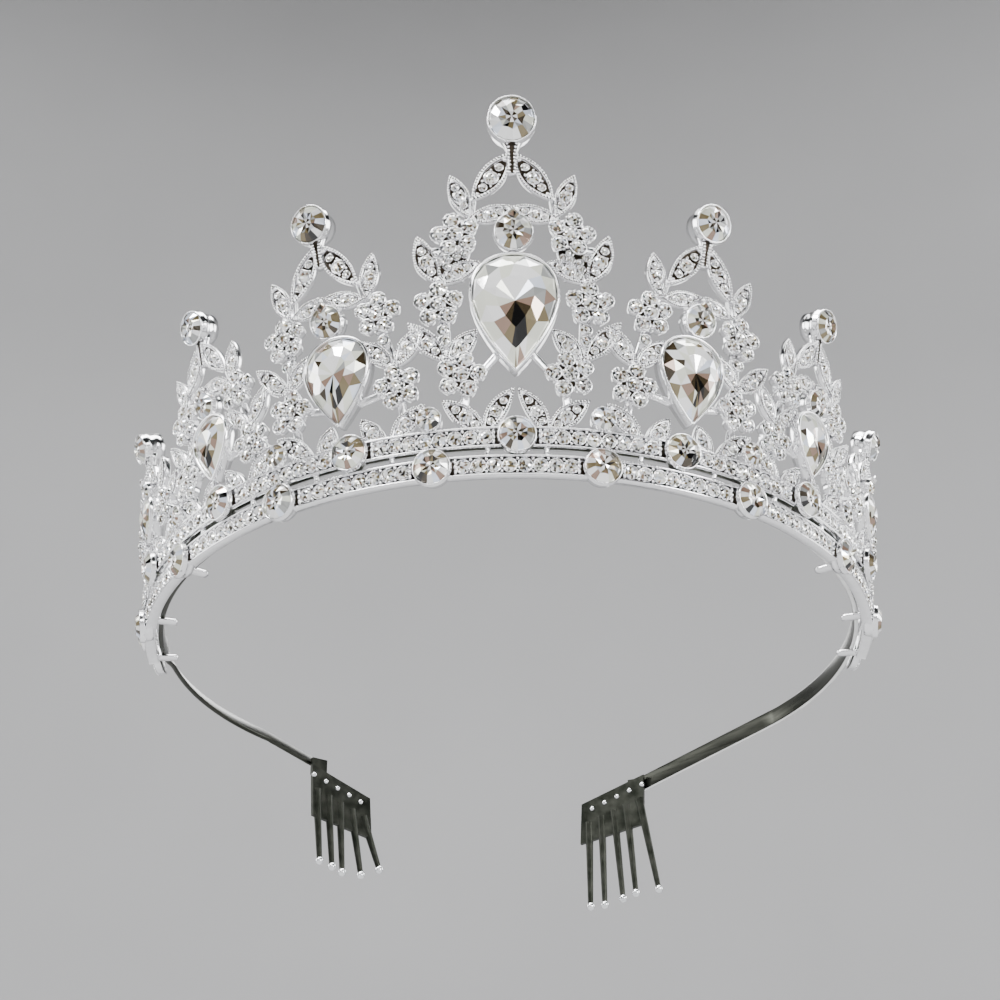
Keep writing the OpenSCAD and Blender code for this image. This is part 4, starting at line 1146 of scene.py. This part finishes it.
def build_comb_marks():
    """A row of domed dimples on the inner face of each comb's plate, and a bright ball on
    the end of every tooth."""
    dome = lathe([(1.0, -0.3), (0.97, 0.15), (0.75, 0.55), (0.4, 0.8)], 16)
    arc = np.linspace(-np.pi / 2, np.pi / 2, 9)[1:-1]
    ball = lathe(join(np.cos(arc), np.sin(arc)), 16)
    for side, start, teeth, name in ((-1, LEFT_COMB_AT, LEFT_TEETH, "left_comb_marks"),
                                     (1, RIGHT_COMB_AT, RIGHT_TEETH, "right_comb_marks")):
        lean, long = np.radians(np.array(teeth)[:, 0]), np.array(teeth)[:, 1]
        count = len(teeth)
        width = COMB_PITCH * count
        middle = side * (math.radians(start) + width / 2 / RING_R)
        across = np.array([math.cos(middle), math.sin(middle), 0])
        inward = np.array([-math.sin(middle), math.cos(middle), 0])
        axes = np.repeat(np.stack([across, np.cross(inward, across), inward])[None], count, 0)

        def on_comb(mark, size, x, shift, drop, depth):
            origins = (side * (x + shift - width / 2))[:, None] * across
            z = COMB_HANG - x * COMB_DROP - drop
            origins = origins + (depth - COMB_FACE_R) * inward + z[:, None] * [0, 0, 1.0]
            return (*repeat(mark, (origins, axes), size), 0, True, None)

        x = np.arange(count) * COMB_PITCH
        dimples = on_comb(dome, 0.52, x + 0.45, 0, 1.9, COMB_PLATE_T)
        balls = on_comb(ball, 0.8, (np.arange(count) + 0.5) * COMB_PITCH, long * np.sin(lean),
                        TOOTH_START + long * np.cos(lean), COMB_PLATE_T / 2)
        make_piece(name, [dimples, balls], [tip_steel])


def give(node, material):
    """A CAD node keeps its shape and takes a material in every slot."""
    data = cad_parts[node].data
    data.materials.clear()
    data.materials.append(material)


# Stage, lamps and camera


def build_stage():
    """A pale round floor that curves up into a wall all round: its profile, a flat run, a
    quarter circle and an upright, is turned about the middle. The wall is low in front and
    on the sides and climbs behind the crown."""
    foot, bend, n = -0.17, 0.35, 96
    ang = np.linspace(0, np.pi / 2, 20)
    r = np.concatenate([[0.02, 0.4], 0.85 + bend * np.sin(ang), [0.85 + bend]])
    z = np.concatenate([[foot, foot], foot + bend * (1 - np.cos(ang)), [0.5]])
    turn = np.arange(n) * 2 * np.pi / n
    z = np.repeat(z[:, None], n, 1)
    z[-1] += 1.9 * np.clip((np.sin(turn) - 0.3) / 0.3, 0, 1)
    pts = join(r[:, None] * np.cos(turn), r[:, None] * np.sin(turn), z)
    faces = grid_faces(len(r), n).tolist() + [list(range(n))]
    mesh = bpy.data.meshes.new("floor")
    mesh.from_pydata(pts.reshape(-1, 3).tolist(), [], faces)
    mesh.polygons.foreach_set("use_smooth", np.ones(len(mesh.polygons), bool))
    mesh.materials.append(plain("pale_floor", (0.36, 0.36, 0.365), (0.385, 0.385, 0.39), 0.9, 3))
    sheet = bpy.data.objects.new("floor", mesh)
    bpy.context.scene.collection.objects.link(sheet)


def set_up(name, data, x, y, z, place):
    """A lamp or camera at a place, with its own axes x, y and z."""
    obj = bpy.data.objects.new(name, data)
    rows = [[x[i], y[i], z[i], place[i]] for i in range(3)]
    obj.matrix_world = Matrix(rows + [[0, 0, 0, 1]])
    bpy.context.scene.collection.objects.link(obj)
    return obj


def lamp(name, place, aim, width, height, watts):
    """A soft rectangular lamp that looks at a point."""
    data = bpy.data.lights.new(name, "AREA")
    data.shape = "RECTANGLE"
    data.size, data.size_y = width, height
    data.energy = watts
    gaze = np.array(aim, float) - np.array(place, float)
    z = -gaze / np.linalg.norm(gaze)
    x = np.cross([0, 0, 1.0], z)
    x /= np.linalg.norm(x)
    set_up(name, data, x, np.cross(z, x), z, place).visible_camera = False


def build_camera():
    """The camera at the photograph's place and angle: yaw, pitch and roll from a fit."""
    data = bpy.data.cameras.new("camera")
    data.sensor_width = 36.0
    data.lens = 57.6
    data.clip_start, data.clip_end = 0.01, 20.0
    yaw, pitch, roll = math.radians(-1.41), math.radians(31.34), math.radians(1.03)
    right = np.array([math.cos(yaw), math.sin(yaw), 0.0])
    level = np.array([-math.sin(yaw), math.cos(yaw), 0.0])
    ahead = math.cos(pitch) * level + np.array([0, 0, math.sin(pitch)])
    above = -math.sin(pitch) * level + np.array([0, 0, math.cos(pitch)])
    x = math.cos(roll) * right - math.sin(roll) * above
    y = math.sin(roll) * right + math.cos(roll) * above
    place = (-0.00709, -0.24673, -0.11772)
    bpy.context.scene.camera = set_up("camera", data, x, y, -ahead, place)


def build_world():
    """A faint bluish light from all sides."""
    world = bpy.data.worlds.new("studio")
    world.use_nodes = True
    background = world.node_tree.nodes["Background"]
    background.inputs["Color"].default_value = (0.85, 0.88, 0.92, 1)
    background.inputs["Strength"].default_value = 0.02
    bpy.context.scene.world = world


leaves = leaf_table()
build_leaves(leaves)
build_leaf_stones(leaves)
build_flowers()
build_bar_stones()
build_rails()
build_rail_stones()
build_round_cups()
build_pears()
build_stems()
build_arch_points()
build_strip()
build_tabs()
build_comb_marks()
give("left_comb", comb_steel)
give("right_comb", comb_steel)
build_stage()
build_camera()
crown_middle = (0, -0.02, 0.02)
lamp("front", (0, -1.0, 0.24), crown_middle, 0.9, 0.16, 4.5)
lamp("key", (-0.5, -0.5, 0.75), crown_middle, 0.3, 0.3, 13)
lamp("fill", (0.7, -0.62, 0.12), crown_middle, 0.22, 0.3, 6.5)
lamp("top", (0.05, -0.1, 0.8), crown_middle, 0.8, 0.4, 13)
lamp("left", (-0.85, 0.1, 0.35), crown_middle, 0.4, 0.5, 4.5)
lamp("right", (0.85, 0.2, 0.35), crown_middle, 0.4, 0.5, 4.5)
lamp("back", (0.0, 0.3, 1.2), (0, 1.2, 0.4), 1.4, 0.6, 9)
lamp("rear", (0.0, 0.8, 0.6), crown_middle, 0.5, 0.3, 2.5)
build_world()
